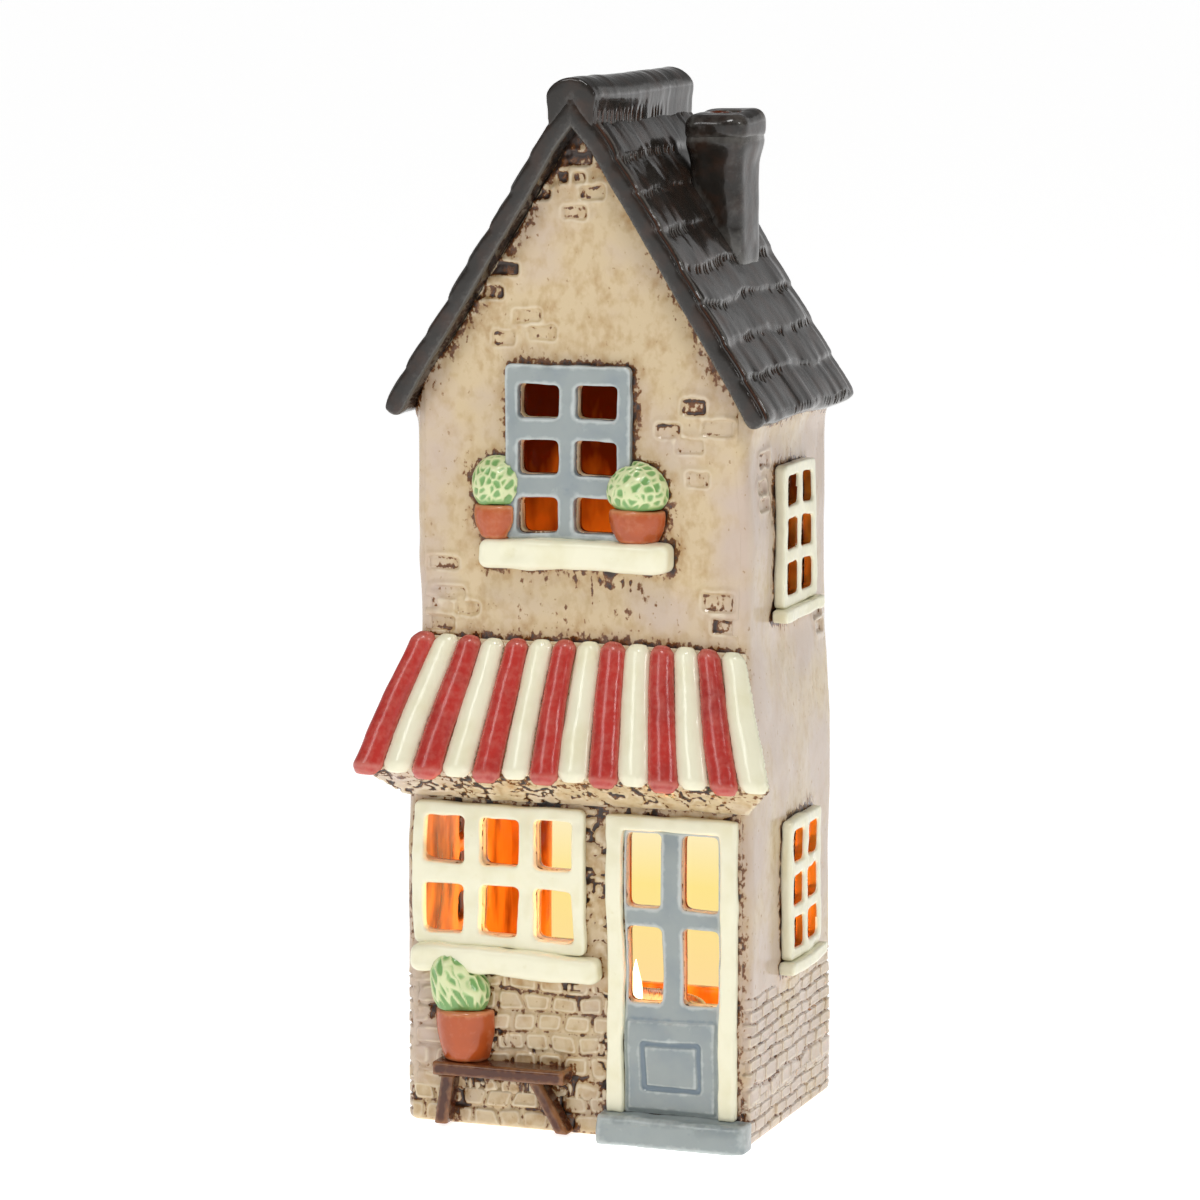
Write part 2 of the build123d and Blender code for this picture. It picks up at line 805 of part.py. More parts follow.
# Pots and bushes on the upper sill
window_neighbours = (upper_window_blank.part, upper_window_sill)
window_plants = (
    ("left", left_pot_x, left_pot_radius, left_bush_radius),
    ("right", right_pot_x, right_pot_radius, right_bush_radius),
)
for name, x, pot_radius, bush_radius in window_plants:
    pot = wall_pot(
        x, upper_front_y, upper_sill_top, pot_radius, window_pot_height, pot_sink, window_neighbours
    )
    bush = wall_bush(
        x,
        upper_front_y,
        upper_sill_top + window_pot_height,
        bush_radius,
        window_bush_height,
        pot_sink,
        window_neighbours,
    )
    save(pot, "upper_" + name + "_pot")
    save(bush, "upper_" + name + "_bush")

# Pot and bush on the bench, the bush in a tall lobe and a low one in front of the shop sill
bench_neighbours = (shop_window_blank.part, shop_window_sill)
bench_pot = wall_pot(bench_pot_x, front_y, bench_top, bench_pot_radius, bench_pot_height, 0, bench_neighbours)
save(bench_pot, "bench_pot")
bench_bush_lobes = (
    (bench_pot_x - bench_bush_lean, bench_bush_radius, bench_bush_height),
    (bench_pot_x + bench_low_bush_shift, bench_low_bush_radius, bench_low_bush_height),
)
with BuildPart() as bench_bush:
    for x, radius, height in bench_bush_lobes:
        lobe = wall_bush(
            x, front_y, bench_top + bench_pot_height, radius, height, -bench_bush_forward, bench_neighbours
        )
        add(lobe)
save(bench_bush.part, "bench_bush")


def side_frame(side, storey):
    """Make the frame of a side window with its six panes."""
    sill_top = side_sill_tops[storey]
    with BuildPart() as frame:
        with BuildSketch(Plane.YZ.offset(side * side_wall_x[storey])):
            with Locations((side_window_y, sill_top + side_window_height / 2)):
                RectangleRounded(side_window_width, side_window_height, frame_radius)
            side_panes(sill_top, Mode.SUBTRACT)
        extrude(amount=side * frame_relief)
    return frame.part


def side_sill(side, storey):
    """Make the sill under a side window."""
    middle_z = side_sill_tops[storey] - side_sill_height / 2
    with BuildPart() as sill:
        with BuildSketch(Plane.YZ.offset(side * side_wall_x[storey])):
            with Locations((side_window_y, middle_z)):
                RectangleRounded(side_window_width + 2 * side_sill_tail, side_sill_height, side_sill_radius)
        extrude(amount=side * side_sill_depth)
    return sill.part


for side_name, side in (("left", -1), ("right", 1)):
    for storey in side_sill_tops:
        save(side_frame(side, storey), side_name + "_" + storey + "_window_frame")
        save(side_sill(side, storey), side_name + "_" + storey + "_window_sill")

# Tealight, standing on the floor behind the door
tealight_axis = Axis((tealight_x, tealight_y, 0), (0, 0, 1))
tealight_section = Plane(origin=(tealight_x, tealight_y, floor_z), x_dir=(1, 0, 0), z_dir=(0, -1, 0))
cup_inner_radius = tealight_radius - cup_wall
wax_top = cup_wall + wax_height
bore_radius = wick_radius + wax_clearance

with BuildPart() as tealight_cup:
    with BuildSketch(tealight_section):
        Polygon(
            (0, 0),
            (tealight_radius, 0),
            (tealight_radius, tealight_height),
            (cup_inner_radius, tealight_height),
            (cup_inner_radius, cup_wall),
            (0, cup_wall),
            align=None,
        )
    revolve(axis=tealight_axis)
save(tealight_cup.part, "tealight_cup")

# Wax with a dished top, cast round the wick and its sustainer
with BuildPart() as tealight_wax:
    wax_radius = cup_inner_radius - wax_clearance
    pocket_radius = sustainer_radius + wax_clearance
    pocket_top = cup_wall + sustainer_thickness + wax_clearance
    socket_radius = collar_radius + wax_clearance
    socket_top = cup_wall + collar_height + wax_clearance
    pool_middle = ((wax_radius + bore_radius) / 2, wax_top - wax_dip * wax_pool_share)
    with BuildSketch(tealight_section):
        with BuildLine():
            ThreePointArc((wax_radius, wax_top), pool_middle, (bore_radius, wax_top - wax_dip))
            Polyline(
                (bore_radius, wax_top - wax_dip),
                (bore_radius, socket_top),
                (socket_radius, socket_top),
                (socket_radius, pocket_top),
                (pocket_radius, pocket_top),
                (pocket_radius, cup_wall),
                (wax_radius, cup_wall),
                (wax_radius, wax_top),
            )
        make_face()
    revolve(axis=tealight_axis)
save(tealight_wax.part, "tealight_wax")

# Wick sustainer: a thin disc with a collar that grips the wick
with BuildPart() as wick_sustainer:
    disc_top = cup_wall + sustainer_thickness
    collar_top = cup_wall + collar_height
    with BuildSketch(tealight_section):
        Polygon(
            (0, cup_wall),
            (sustainer_radius, cup_wall),
            (sustainer_radius, disc_top),
            (collar_radius, disc_top),
            (collar_radius, collar_top),
            (bore_radius, collar_top),
            (bore_radius, disc_top),
            (0, disc_top),
            align=None,
        )
    revolve(axis=tealight_axis)
save(wick_sustainer.part, "wick_sustainer")

with BuildPart() as tealight_wick:
    with BuildSketch(Plane.XY.offset(floor_z + disc_top)):
        with Locations((tealight_x, tealight_y)):
            Circle(wick_radius)
    extrude(amount=wax_top - wax_dip + wick_stand - disc_top)
save(tealight_wick.part, "tealight_wick")
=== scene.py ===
import functools
import itertools
import json
import math

import bmesh
import bpy
import numpy as np
from mathutils import Matrix, Vector
from mathutils.bvhtree import BVHTree


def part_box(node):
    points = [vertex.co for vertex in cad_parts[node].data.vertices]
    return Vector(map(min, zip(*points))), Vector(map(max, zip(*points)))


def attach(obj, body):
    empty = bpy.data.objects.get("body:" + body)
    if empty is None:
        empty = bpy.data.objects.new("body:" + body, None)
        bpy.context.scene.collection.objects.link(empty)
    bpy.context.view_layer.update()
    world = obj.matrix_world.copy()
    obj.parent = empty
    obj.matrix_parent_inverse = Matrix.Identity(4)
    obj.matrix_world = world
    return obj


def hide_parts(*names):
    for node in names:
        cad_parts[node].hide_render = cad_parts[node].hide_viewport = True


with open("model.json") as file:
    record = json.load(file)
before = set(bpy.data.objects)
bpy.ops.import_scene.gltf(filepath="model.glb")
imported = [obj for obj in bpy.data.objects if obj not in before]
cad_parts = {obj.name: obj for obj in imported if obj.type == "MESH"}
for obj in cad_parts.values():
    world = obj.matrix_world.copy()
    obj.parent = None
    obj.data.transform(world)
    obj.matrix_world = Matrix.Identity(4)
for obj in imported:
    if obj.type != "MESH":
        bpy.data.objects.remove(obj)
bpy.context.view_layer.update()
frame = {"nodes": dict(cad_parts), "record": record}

bl_info = {
    "name": "Ceramic Shop House",
    "version": (1, 0, 0),
    "blender": (4, 5, 0),
    "location": "3D View > Sidebar > Shop House",
    "description": "Glazes a slab-built ceramic shop house and its tealight",
    "category": "Object",
}

MM = 0.001

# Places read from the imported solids, in metres
GABLE_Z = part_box("front_wall")[1].z
SHOP_FRONT_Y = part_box("front_wall")[0].y
UPPER_FRONT_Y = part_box("upper_window_frame")[1].y
AWNING_LIP_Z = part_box("awning_red_stripes")[0].z
AWNING_TOP_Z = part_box("awning_canopy")[1].z
ROOF_FRONT_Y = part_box("roof_right")[0].y
ROOF_BACK_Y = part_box("roof_right")[1].y
FLOOR_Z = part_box("base_slab")[1].z
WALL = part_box("rear_wall")[1].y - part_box("rear_wall")[0].y
CUP_LOW, CUP_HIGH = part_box("tealight_cup")
CUP_X = (CUP_LOW.x + CUP_HIGH.x) / 2
CUP_Y = (CUP_LOW.y + CUP_HIGH.y) / 2

# Seams of the front and rear walls with the side walls, below and above the awning's lip
LOWER_SEAM_X = 42 * MM
UPPER_SEAM_X = 40 * MM

# Heights of the pebbled clay on the shop front, and of the painted shade that darkens the lining up under
# the roof
PEBBLE_FOOT_Z = 5 * MM
PEBBLE_TOP_Z = 86 * MM
LINING_SHADE_FOOT_Z = 142 * MM
LINING_SHADE_TOP_Z = 182 * MM

# Front verge of the roof: where the courses fade out, and the thin bead of glaze beside it
VERGE_FADE_START = 3.2 * MM
VERGE_FADE_END = 5.6 * MM
BEAD_INSET = 3.1 * MM
BEAD_WIDTH = 0.55 * MM
BEAD_HEIGHT = 0.85 * MM
FLUE_REACH = 3.9 * MM

# Candle light thrown up into the chamber, and the card with a painted warm glow in the rear opening
CHAMBER_LAMP_Z = 112 * MM
CHAMBER_LAMP_SHARE = 0.28
GLOW_HALF_WIDTH = 33 * MM
GLOW_HALF_HEIGHT = 39 * MM
GLOW_INSET = 1.2 * MM
GLOW_Z = 61 * MM

# Studio lights: place and size in metres, all turned to the middle of the house
LIGHTS = {
    "key": ((-0.5, -1.1, 0.9), 0.4),
    "fill": ((1.1, -0.45, 0.82), 0.25),
    "top": ((0.1, -0.6, 1.25), 0.35),
    "back": ((0.42, 1.15, 0.5), 0.5),
}
LIGHT_AIM = (0, 0, 0.13)
FLOOR_HALF_WIDTH = 40
FLOOR_DROP = 0.05 * MM

# Refractive indices of the glazes, the lining and the wax
GLAZE_IOR = 1.52
LINING_IOR = 1.48
WAX_IOR = 1.44

# Nodes that sit on the walls; the wall glaze breaks brown round each of them
BODIES = frame["record"]["behaviour"]["bodies"]
WALL_NODES = ("base_slab", "front_wall", "rear_wall", "left_wall", "right_wall")
APPLIED_NODES = [node for node in BODIES["house"] if node not in WALL_NODES]

# Bricks stamped into the upper front and the side walls: across, up, width, height in mm, and how brown
FRONT_STAMPS = (
    (-0.5, 240.2, 6.6, 3.4, 1.0),
    (-4.6, 235.8, 3.0, 3.0, 0.9),
    (-0.6, 235.6, 3.6, 2.6, 0.7),
    (2.9, 232.2, 6.6, 3.4, 1.0),
    (-10.5, 231.4, 5.0, 2.6, 0.9),
    (-1.8, 227.2, 6.4, 3.2, 0.45),
    (-20.0, 213.1, 8.4, 3.2, 0.9),
    (-23.8, 207.3, 8.2, 3.2, 0.9),
    (-13.8, 201.9, 7.2, 3.2, 0.25),
    (-9.9, 197.9, 6.8, 3.4, 0.3),
    (-19.8, 196.2, 6.0, 3.6, 0.45),
    (29.2, 181.0, 6.8, 4.2, 0.9),
    (22.8, 175.2, 6.4, 3.6, 0.7),
    (34.6, 176.2, 6.6, 3.8, 0.15),
    (28.4, 171.6, 7.4, 3.6, 0.25),
    (30.4, 163.6, 6.0, 3.6, 0.2),
    (-34.5, 140.4, 6.6, 3.4, 0.4),
    (-33.4, 132.8, 6.8, 3.4, 0.25),
    (-38.4, 130.2, 4.4, 3.4, 0.6),
    (-29.5, 129.3, 6.6, 3.4, 0.2),
    (-36.0, 125.2, 6.4, 3.6, 0.5),
    (34.4, 133.7, 6.6, 4.2, 0.7),
    (37.0, 128.2, 6.4, 4.0, 0.7),
)
SIDE_STAMPS = (
    (-16.6, 167.4, 7.0, 3.4, 0.4),
    (-19.0, 160.7, 6.4, 3.2, 0.2),
    (-18.0, 156.6, 6.8, 3.2, 0.2),
    (23.6, 124.8, 6.6, 3.4, 0.5),
    (25.5, 120.6, 6.2, 3.2, 0.5),
)


def linear(code):
    """Turn an sRGB hex colour into linear red, green and blue."""
    shares = [int(code[start:start + 2], 16) / 255 for start in (0, 2, 4)]
    return [share / 12.92 if share <= 0.04045 else ((share + 0.055) / 1.055) ** 2.4 for share in shares]


def number(name, description, default, **kind):
    """Declare a number."""
    return bpy.props.FloatProperty(name=name, description=description, default=default, **kind)


def length(name, description, default, low=0):
    """Declare a length in metres from a size in millimetres."""
    return number(name, description, default * MM, min=low * MM, precision=5, unit="LENGTH")


def angle(name, description, default):
    """Declare an angle from degrees."""
    return number(name, description, math.radians(default), subtype="ANGLE")


def power(name, description, default):
    return number(name, description, default, unit="POWER")


def colour(name, description, code):
    """Declare a colour from its sRGB hex value."""
    return bpy.props.FloatVectorProperty(
        name=name, description=description, default=linear(code), min=0, max=1, size=3, subtype="COLOR"
    )


class HouseSizes(bpy.types.PropertyGroup):
    """Sizes of the hand work that the fired surfaces show."""

    wall_mesh: length("Wall mesh", "Mesh size of the walls", 0.7)
    roof_mesh: length("Roof mesh", "Mesh size of the tiled slopes", 0.6)
    sprig_mesh: length("Sprig mesh", "Mesh size of frames, sills and other small pieces", 0.36)
    hand_wave: length("Hand wave", "Length of the slow waves in the hand-built slabs", 21)
    hand_sway: length("Hand sway", "How far the slow waves move the slabs", 0.5)
    front_brick_length: length("Front brick length", "Length of a brick under the shop window", 6.7)
    front_brick_height: length("Front brick height", "Height of a brick under the shop window", 5.0)
    side_brick_length: length("Side brick length", "Length of a brick low on the side walls", 8.2)
    side_brick_height: length("Side brick height", "Height of a brick low on the side walls", 3.05)
    brick_joint: length("Brick joint", "Half width of the joints between bricks", 0.75)
    brick_depth: length("Brick depth", "Depth of the joints between bricks", 0.55)
    brick_top: length("Brick top", "Height that the brickwork reaches on the walls", 37.5)
    stamp_depth: length("Stamp depth", "Depth of the single bricks stamped in the walls", 0.5)
    halo_reach: length("Halo reach", "How far the brown fringe spreads from a piece", 8)
    tile_course: length("Tile course", "Length of one course of roof tiles", 10.305)
    ridge_reach: length("Ridge reach", "Distance from the ridge to the first course", 2.4)
    tile_seat: length("Tile seat", "Thickness of the slab that the tiles stand on", 4.2)
    nick_pitch: length("Nick pitch", "Spacing of the nicks at each lip", 1.8)
    nick_depth: length("Nick depth", "Depth of the nicks at each lip", 0.7)
    roof_pitch: angle("Roof pitch", "Slope of the roof", 58.3)
    leaf_size: length("Leaf size", "Width of one leaf of a clipped bush", 2.2)
    flame_height: length("Flame height", "Height of the candle flame", 15)
    flame_width: length("Flame width", "Width of the candle flame", 4.2)


class GlazeColours(bpy.types.PropertyGroup):
    """Colours of the glazes, clays and candle."""

    cream: colour("Cream", "Thin wall glaze", "D3BD97")
    lilac: colour("Lilac", "Thick wall glaze", "CBB7A6")
    pale: colour("Pale", "Wall glaze on crests", "EADDC2")
    ochre: colour("Ochre", "Fringe of the wall glaze", "B08A55")
    rust: colour("Rust", "Broken wall glaze", "7A4A23")
    umber: colour("Umber", "Wall glaze pooled in hollows", "35241B")
    amber: colour("Amber", "Lining glaze", "C87A28")
    # Treacle: lining glaze where it pools thick, and also the painted shade high in the chamber
    treacle: colour("Treacle", "Thick lining glaze", "6A2C0A")
    charcoal: colour("Charcoal", "Roof glaze", "26221E")
    tobacco: colour("Tobacco", "Roof glaze where it pools", "4A2E1E")
    # Ash: roof glaze thinned on edges, and also a painted highlight along the lips, the ridge and the verge
    # bead
    ash: colour("Ash", "Roof glaze on edges", "625F5A")
    ivory: colour("Ivory", "Frames and sills", "F3EFD3")
    butter: colour("Butter", "Ivory glaze where it pools", "DCD3A2")
    blue: colour("Blue", "Door and upper window", "98A09F")
    pale_blue: colour("Pale blue", "Blue glaze on edges", "C6CCCA")
    slate_blue: colour("Slate blue", "Blue glaze where it pools", "768590")
    red: colour("Red", "Awning stripes", "BC352D")
    rose: colour("Rose", "Red glaze on edges", "CC7568")
    oxblood: colour("Oxblood", "Red glaze where it pools", "6A1414")
    terracotta: colour("Terracotta", "Flower pots", "B85424")
    peach: colour("Peach", "Pot glaze on edges", "D9966B")
    brick_red: colour("Brick red", "Pot glaze where it pools", "8A3A1A")
    leaf: colour("Leaf", "Bush glaze in the middle of a leaf", "7DAA66")
    shoot: colour("Shoot", "Bush glaze between the leaves", "DCE3B0")
    bench: colour("Bench", "Bench glaze", "52260F")
    tan: colour("Tan", "Bench glaze on edges", "B07A4C")
    wax: colour("Wax", "Paraffin", "FBF3DF")
    foil: colour("Foil", "Drawn aluminium cup", "C9C9C7")
    char: colour("Char", "Burnt wick", "221B16")
    paper: colour("Paper", "Studio floor", "F4F4F3")


class StudioSettings(bpy.types.PropertyGroup):
    """Camera and lights of the studio."""

    azimuth: angle("Azimuth", "Camera's turn to the right", 20.03)
    elevation: angle("Elevation", "Camera's rise", 8.18)
    distance: length("Distance", "Camera's distance from its target", 1278.5)
    target_x: length("Target x", "Point looked at", -15.5, low=-1000)
    target_y: length("Target y", "Point looked at", 26.45)
    target_z: length("Target z", "Point looked at", 124.3)
    focal_length: number("Focal length", "Lens in millimetres", 150, unit="CAMERA")
    key_power: power("Key", "Power of the key light", 2.2)
    fill_power: power("Fill", "Power of the light on the right", 1.85)
    top_power: power("Top", "Power of the light above the awning", 5.0)
    back_power: power("Back", "Power of the light that sheens the roof", 0.3)
    flame_power: power("Flame", "Power of the candle's light", 0.2)
    room_light: number("Room", "Strength of the white room round the set", 1.0)
    glow_light: number("Glow", "Strength of the warm glow in the rear opening", 1.0)


def sizes():
    """Give the sizes of the hand work."""
    return bpy.context.scene.house_sizes


def paint(name):
    """Give one of the glaze colours with full alpha."""
    return (*getattr(bpy.context.scene.house_colours, name), 1)


def opaque(code):
    """Give an sRGB hex colour with full alpha."""
    return (*linear(code), 1)


def set_inputs(tree, node, inputs):
    """Set or link a shader node's inputs."""
    for key, value in inputs.items():
        if isinstance(value, bpy.types.NodeSocket):
            tree.links.new(value, node.inputs[key])
        else:
            node.inputs[key].default_value = value


def add_node(tree, kind, inputs=None, out=0, stops=(), **settings):
    """Add a shader node with its settings, colour stops and inputs, and give one of its outputs."""
    node = tree.nodes.new("ShaderNode" + kind)
    for key, value in settings.items():
        setattr(node, key, value)
    set_inputs(tree, node, inputs or {})
    for position, shade in stops:
        stop = node.color_ramp.elements.new(position)
        stop.color = shade
    if stops:
        node.color_ramp.elements.remove(node.color_ramp.elements[0])
        node.color_ramp.elements.remove(node.color_ramp.elements[-1])
    return node.outputs[out]


def stoneware(add, place):
    """Cream reactive glaze on stoneware: glossy, lilac where thick, pale on crests, brown by each piece."""
    fields = ("halo", "stain", "bend", "thick")
    halo, stain, bend, thick = [add("Attribute", out="Fac", attribute_name=field) for field in fields]
    run = add("Mapping", {"Vector": place, "Scale": (1, 1, 0.75)})
    cloud = add("TexNoise", {"Vector": place, "Scale": 1 / (24 * MM), "Detail": 3})
    fringe = add("TexNoise", {"Vector": run, "Scale": 1 / (1.3 * MM), "Detail": 4})
    mottle = add("TexNoise", {"Vector": run, "Scale": 1 / (2.4 * MM), "Detail": 5})

    # Thick glaze goes lilac, thin glaze goes cream with ochre freckles
    drift = add("MapRange", {0: cloud, 1: 0.3, 2: 0.7, 3: -0.4, 4: 0.4})
    coat = add("Math", {0: thick, 1: drift}, operation="ADD")
    veil = add("MapRange", {0: coat, 1: 0.25, 2: 0.7})
    ground = add("Mix", {0: veil, 6: paint("cream"), 7: paint("lilac")}, 2, data_type="RGBA")
    bare = add("MapRange", {0: coat, 1: 0.75, 2: 0.1, 3: 0.1, 4: 0.75})
    freckle = add("MapRange", {0: mottle, 1: 0.45, 2: 0.75})
    share = add("Math", {0: bare, 1: freckle}, operation="MULTIPLY")
    blush = add("MapRange", {0: halo, 1: 0.0, 2: 0.6, 3: 0.0, 4: 0.55})
    spotted = add("Math", {0: blush, 1: mottle, 2: share}, operation="MULTIPLY_ADD")
    freckled = add("Mix", {0: spotted, 6: ground, 7: paint("ochre")}, 2, data_type="RGBA")
    crest = add("MapRange", {0: bend, 1: 0.58, 2: 0.85, 3: 0.0, 4: 0.6})
    pale = add("Mix", {0: crest, 6: freckled, 7: paint("pale")}, 2, data_type="RGBA")

    # The brown fringe: closeness to a piece, stain in a stamp and hollows, torn by fine noise
    near = add("Math", {0: halo, 1: 2.2}, operation="POWER")
    hollow = add("MapRange", {0: bend, 1: 0.46, 2: 0.15, 3: 0.0, 4: 0.3})
    torn = add("MapRange", {0: fringe, 1: 0.28, 2: 0.72, 3: -0.42, 4: 0.48})
    drive = add("Math", {0: near, 1: 0.8}, operation="MULTIPLY")
    for part in (stain, hollow, torn):
        drive = add("Math", {0: drive, 1: part}, operation="ADD")
    broken = add("MapRange", {0: drive, 1: 0.36, 2: 0.56})
    stops = ((0.38, paint("ochre")), (0.55, paint("rust")), (0.97, paint("umber")))
    brown = add("ValToRGB", {0: drive}, stops=stops)
    pits = add("Math", {0: drive, 1: -0.3, 2: mottle}, operation="MULTIPLY_ADD")
    return {
        "Base Color": add("Mix", {0: broken, 6: pale, 7: brown}, 2, data_type="RGBA"),
        "Roughness": add("MapRange", {0: drive, 1: 0.3, 2: 0.9, 3: 0.12, 4: 0.3}),
        "Normal": add("Bump", {"Height": pits, "Strength": 0.3, "Distance": 0.25 * MM}),
        "IOR": GLAZE_IOR,
    }


def lining(add, place):
    """Amber lining glaze: wet gloss, pooled dark as treacle in runs and beads down the inside walls, with
    painted shade up under the roof, and darker towards the front.
    """
    run = add("Mapping", {"Vector": place, "Scale": (1, 1, 0.35)})
    pool = add("TexNoise", {"Vector": run, "Scale": 1 / (8 * MM), "Detail": 3})
    bead = add("TexVoronoi", {"Vector": place, "Scale": 1 / (5.5 * MM)}, feature="SMOOTH_F1")

    # Painted shade high up under the roof, and darker towards the inside of the front
    height = add("SeparateXYZ", {0: place}, "Z")
    behind = add("SeparateXYZ", {0: place}, "Y")
    painted_shade_high = add("MapRange", {0: height, 1: LINING_SHADE_FOOT_Z, 2: LINING_SHADE_TOP_Z, 3: -0.1, 4: 0.3})
    front = add("MapRange", {0: behind, 1: -4 * MM, 2: -20 * MM, 3: 0.0, 4: 0.2})
    depth = add("Math", {0: pool, 1: painted_shade_high}, operation="ADD")
    depth = add("Math", {0: depth, 1: front}, operation="ADD")
    share = add("MapRange", {0: depth, 1: 0.38, 2: 0.62})
    swell = add("Math", {0: bead, 1: -0.5, 2: pool}, operation="MULTIPLY_ADD")
    return {
        "Base Color": add("Mix", {0: share, 6: paint("amber"), 7: paint("treacle")}, 2, data_type="RGBA"),
        "Roughness": 0.06,
        "Normal": add("Bump", {"Height": swell, "Strength": 0.6, "Distance": 1.2 * MM}),
        "IOR": LINING_IOR,
    }


def gloss_glaze(add, place, body, edge, pool, wave=9.0, edge_share=0.8, rough=0.12):
    """Coloured gloss glaze on stoneware: it thins on edges, pools in hollows and clouds between."""
    bend = add("Attribute", out="Fac", attribute_name="bend")
    cloud = add("TexNoise", {"Vector": place, "Scale": 1 / (wave * MM), "Detail": 3})
    fine = add("TexNoise", {"Vector": place, "Scale": 1 / (1.6 * MM), "Detail": 3})
    lift = add("MapRange", {0: fine, 1: 0.3, 2: 0.7, 3: -0.07, 4: 0.07})
    torn = add("Math", {0: bend, 1: lift}, operation="ADD")
    thin = add("MapRange", {0: torn, 1: 0.58, 2: 0.82, 3: 0.0, 4: edge_share})
    deep = add("MapRange", {0: torn, 1: 0.44, 2: 0.2})
    veil = add("MapRange", {0: cloud, 1: 0.45, 2: 0.75, 3: 0.0, 4: 0.45})
    ground = add("Mix", {0: veil, 6: paint(body), 7: paint(pool)}, 2, data_type="RGBA")
    sunk = add("Mix", {0: deep, 6: ground, 7: paint(pool)}, 2, data_type="RGBA")
    return {
        "Base Color": add("Mix", {0: thin, 6: sunk, 7: paint(edge)}, 2, data_type="RGBA"),
        "Roughness": add("MapRange", {0: cloud, 1: 0.3, 2: 0.7, 3: rough, 4: rough + 0.08}),
        "Normal": add("Bump", {"Height": fine, "Strength": 0.22, "Distance": 0.25 * MM}),
        "IOR": GLAZE_IOR,
    }


def leaf_glaze(add, place):
    """Green gloss glaze over stamped leaves, running off to a pale net on the ridges between them."""
    rib = add("Attribute", out="Fac", attribute_name="rib")
    cloud = add("TexNoise", {"Vector": place, "Scale": 1 / (3 * MM), "Detail": 3})
    lift = add("MapRange", {0: cloud, 1: 0.3, 2: 0.7, 3: -0.14, 4: 0.14})
    torn = add("Math", {0: rib, 1: lift}, operation="ADD")
    stops = ((0.12, paint("leaf")), (0.55, opaque("B4CD8E")), (0.9, paint("shoot")))
    return {
        "Base Color": add("ValToRGB", {0: torn}, stops=stops),
        "Roughness": 0.14,
        "Normal": add("Bump", {"Height": cloud, "Strength": 0.25, "Distance": 0.3 * MM}),
        "IOR": GLAZE_IOR,
    }


def paraffin(add, place):
    """Melted paraffin: smooth and wet, with a painted glow over all of it for the flame's light shining
    through.
    """
    ripple = add("TexNoise", {"Vector": place, "Scale": 1 / (8 * MM), "Detail": 1})
    return {
        "Base Color": add("Mix", {0: ripple, 6: paint("wax"), 7: opaque("F6E3B8")}, 2, data_type="RGBA"),
        "Roughness": 0.12,
        "Normal": add("Bump", {"Height": ripple, "Strength": 0.2, "Distance": 0.3 * MM}),
        "IOR": WAX_IOR,
        # Painted glow: the wax gives off light evenly, for the flame's light through it
        "Emission Color": opaque("FFE6B8"),
        "Emission Strength": 0.45,
        "Subsurface Weight": 0.6,
        "Subsurface Radius": (1.0, 0.6, 0.3),
        "Subsurface Scale": 5 * MM,
    }


def drawn_metal(add, place, shade, rough):
    """Thin drawn metal: bright, with faint lines left by the die."""
    drawn = add("Mapping", {"Vector": place, "Scale": (1, 1, 0.06)})
    lines = add("TexNoise", {"Vector": drawn, "Scale": 1 / (0.7 * MM), "Detail": 2})
    return {
        "Base Color": paint(shade),
        "Metallic": 1,
        "Roughness": add("MapRange", {0: lines, 3: rough, 4: rough + 0.18}),
        "Normal": add("Bump", {"Height": lines, "Strength": 0.15, "Distance": 0.1 * MM}),
    }


def charred_cotton(add, place):
    """Burnt cotton braid: matt and black, with grey ash on the strands."""
    strand = add("TexNoise", {"Vector": place, "Scale": 1 / (0.5 * MM), "Detail": 3})
    return {
        "Base Color": add("Mix", {0: strand, 6: paint("char"), 7: opaque("5A5048")}, 2, data_type="RGBA"),
        "Roughness": 0.9,
        "Normal": add("Bump", {"Height": strand, "Strength": 0.6, "Distance": 0.2 * MM}),
    }


def candle_flame(add, _):
    """Candle flame: orange at the root, white-hot above it and yellow at the tip."""
    rise = add("Attribute", out="Fac", attribute_name="rise")
    shades = ((0.05, "F09A3A"), (0.35, "FFF3C8"), (0.7, "FFE9A8"), (1.0, "FFB85A"))
    stops = [(height, opaque(code)) for height, code in shades]
    return {
        "Base Color": (0, 0, 0, 1),
        "Roughness": 1,
        "Emission Color": add("ValToRGB", {0: rise}, stops=stops),
        "Emission Strength": 4,
    }


def warm_glow(add, place):
    """Painted candle glow on a card in the rear opening: yellow, warmer towards the floor, nothing from
    behind.
    """
    height = add("SeparateXYZ", {0: place}, "Z")
    share = add("MapRange", {0: height, 1: 24 * MM, 2: 98 * MM})
    stops = ((0.0, opaque("FFDD99")), (0.35, opaque("FFE690")), (1.0, opaque("FFEB8C")))
    tone = add("ValToRGB", {0: share}, stops=stops)
    # Painted glow: the card gives off the candle's yellow light towards the front
    light = add("Emission", {"Color": tone, "Strength": bpy.context.scene.house_studio.glow_light})
    clear = add("BsdfTransparent")
    back = add("NewGeometry", out="Backfacing")
    return {"Surface": add("MixShader", {0: back, 1: light, 2: clear})}


def studio_paper(add, place):
    """Pale paper floor: matt, with a faint tooth."""
    tooth = add("TexNoise", {"Vector": place, "Scale": 1 / (40 * MM), "Detail": 4})
    return {
        "Base Color": add("Mix", {0: tooth, 6: paint("paper"), 7: opaque("F8F8F7")}, 2, data_type="RGBA"),
        "Roughness": 0.9,
        "Emission Color": (1, 1, 1, 1),
        "Emission Strength": 0.82,
    }


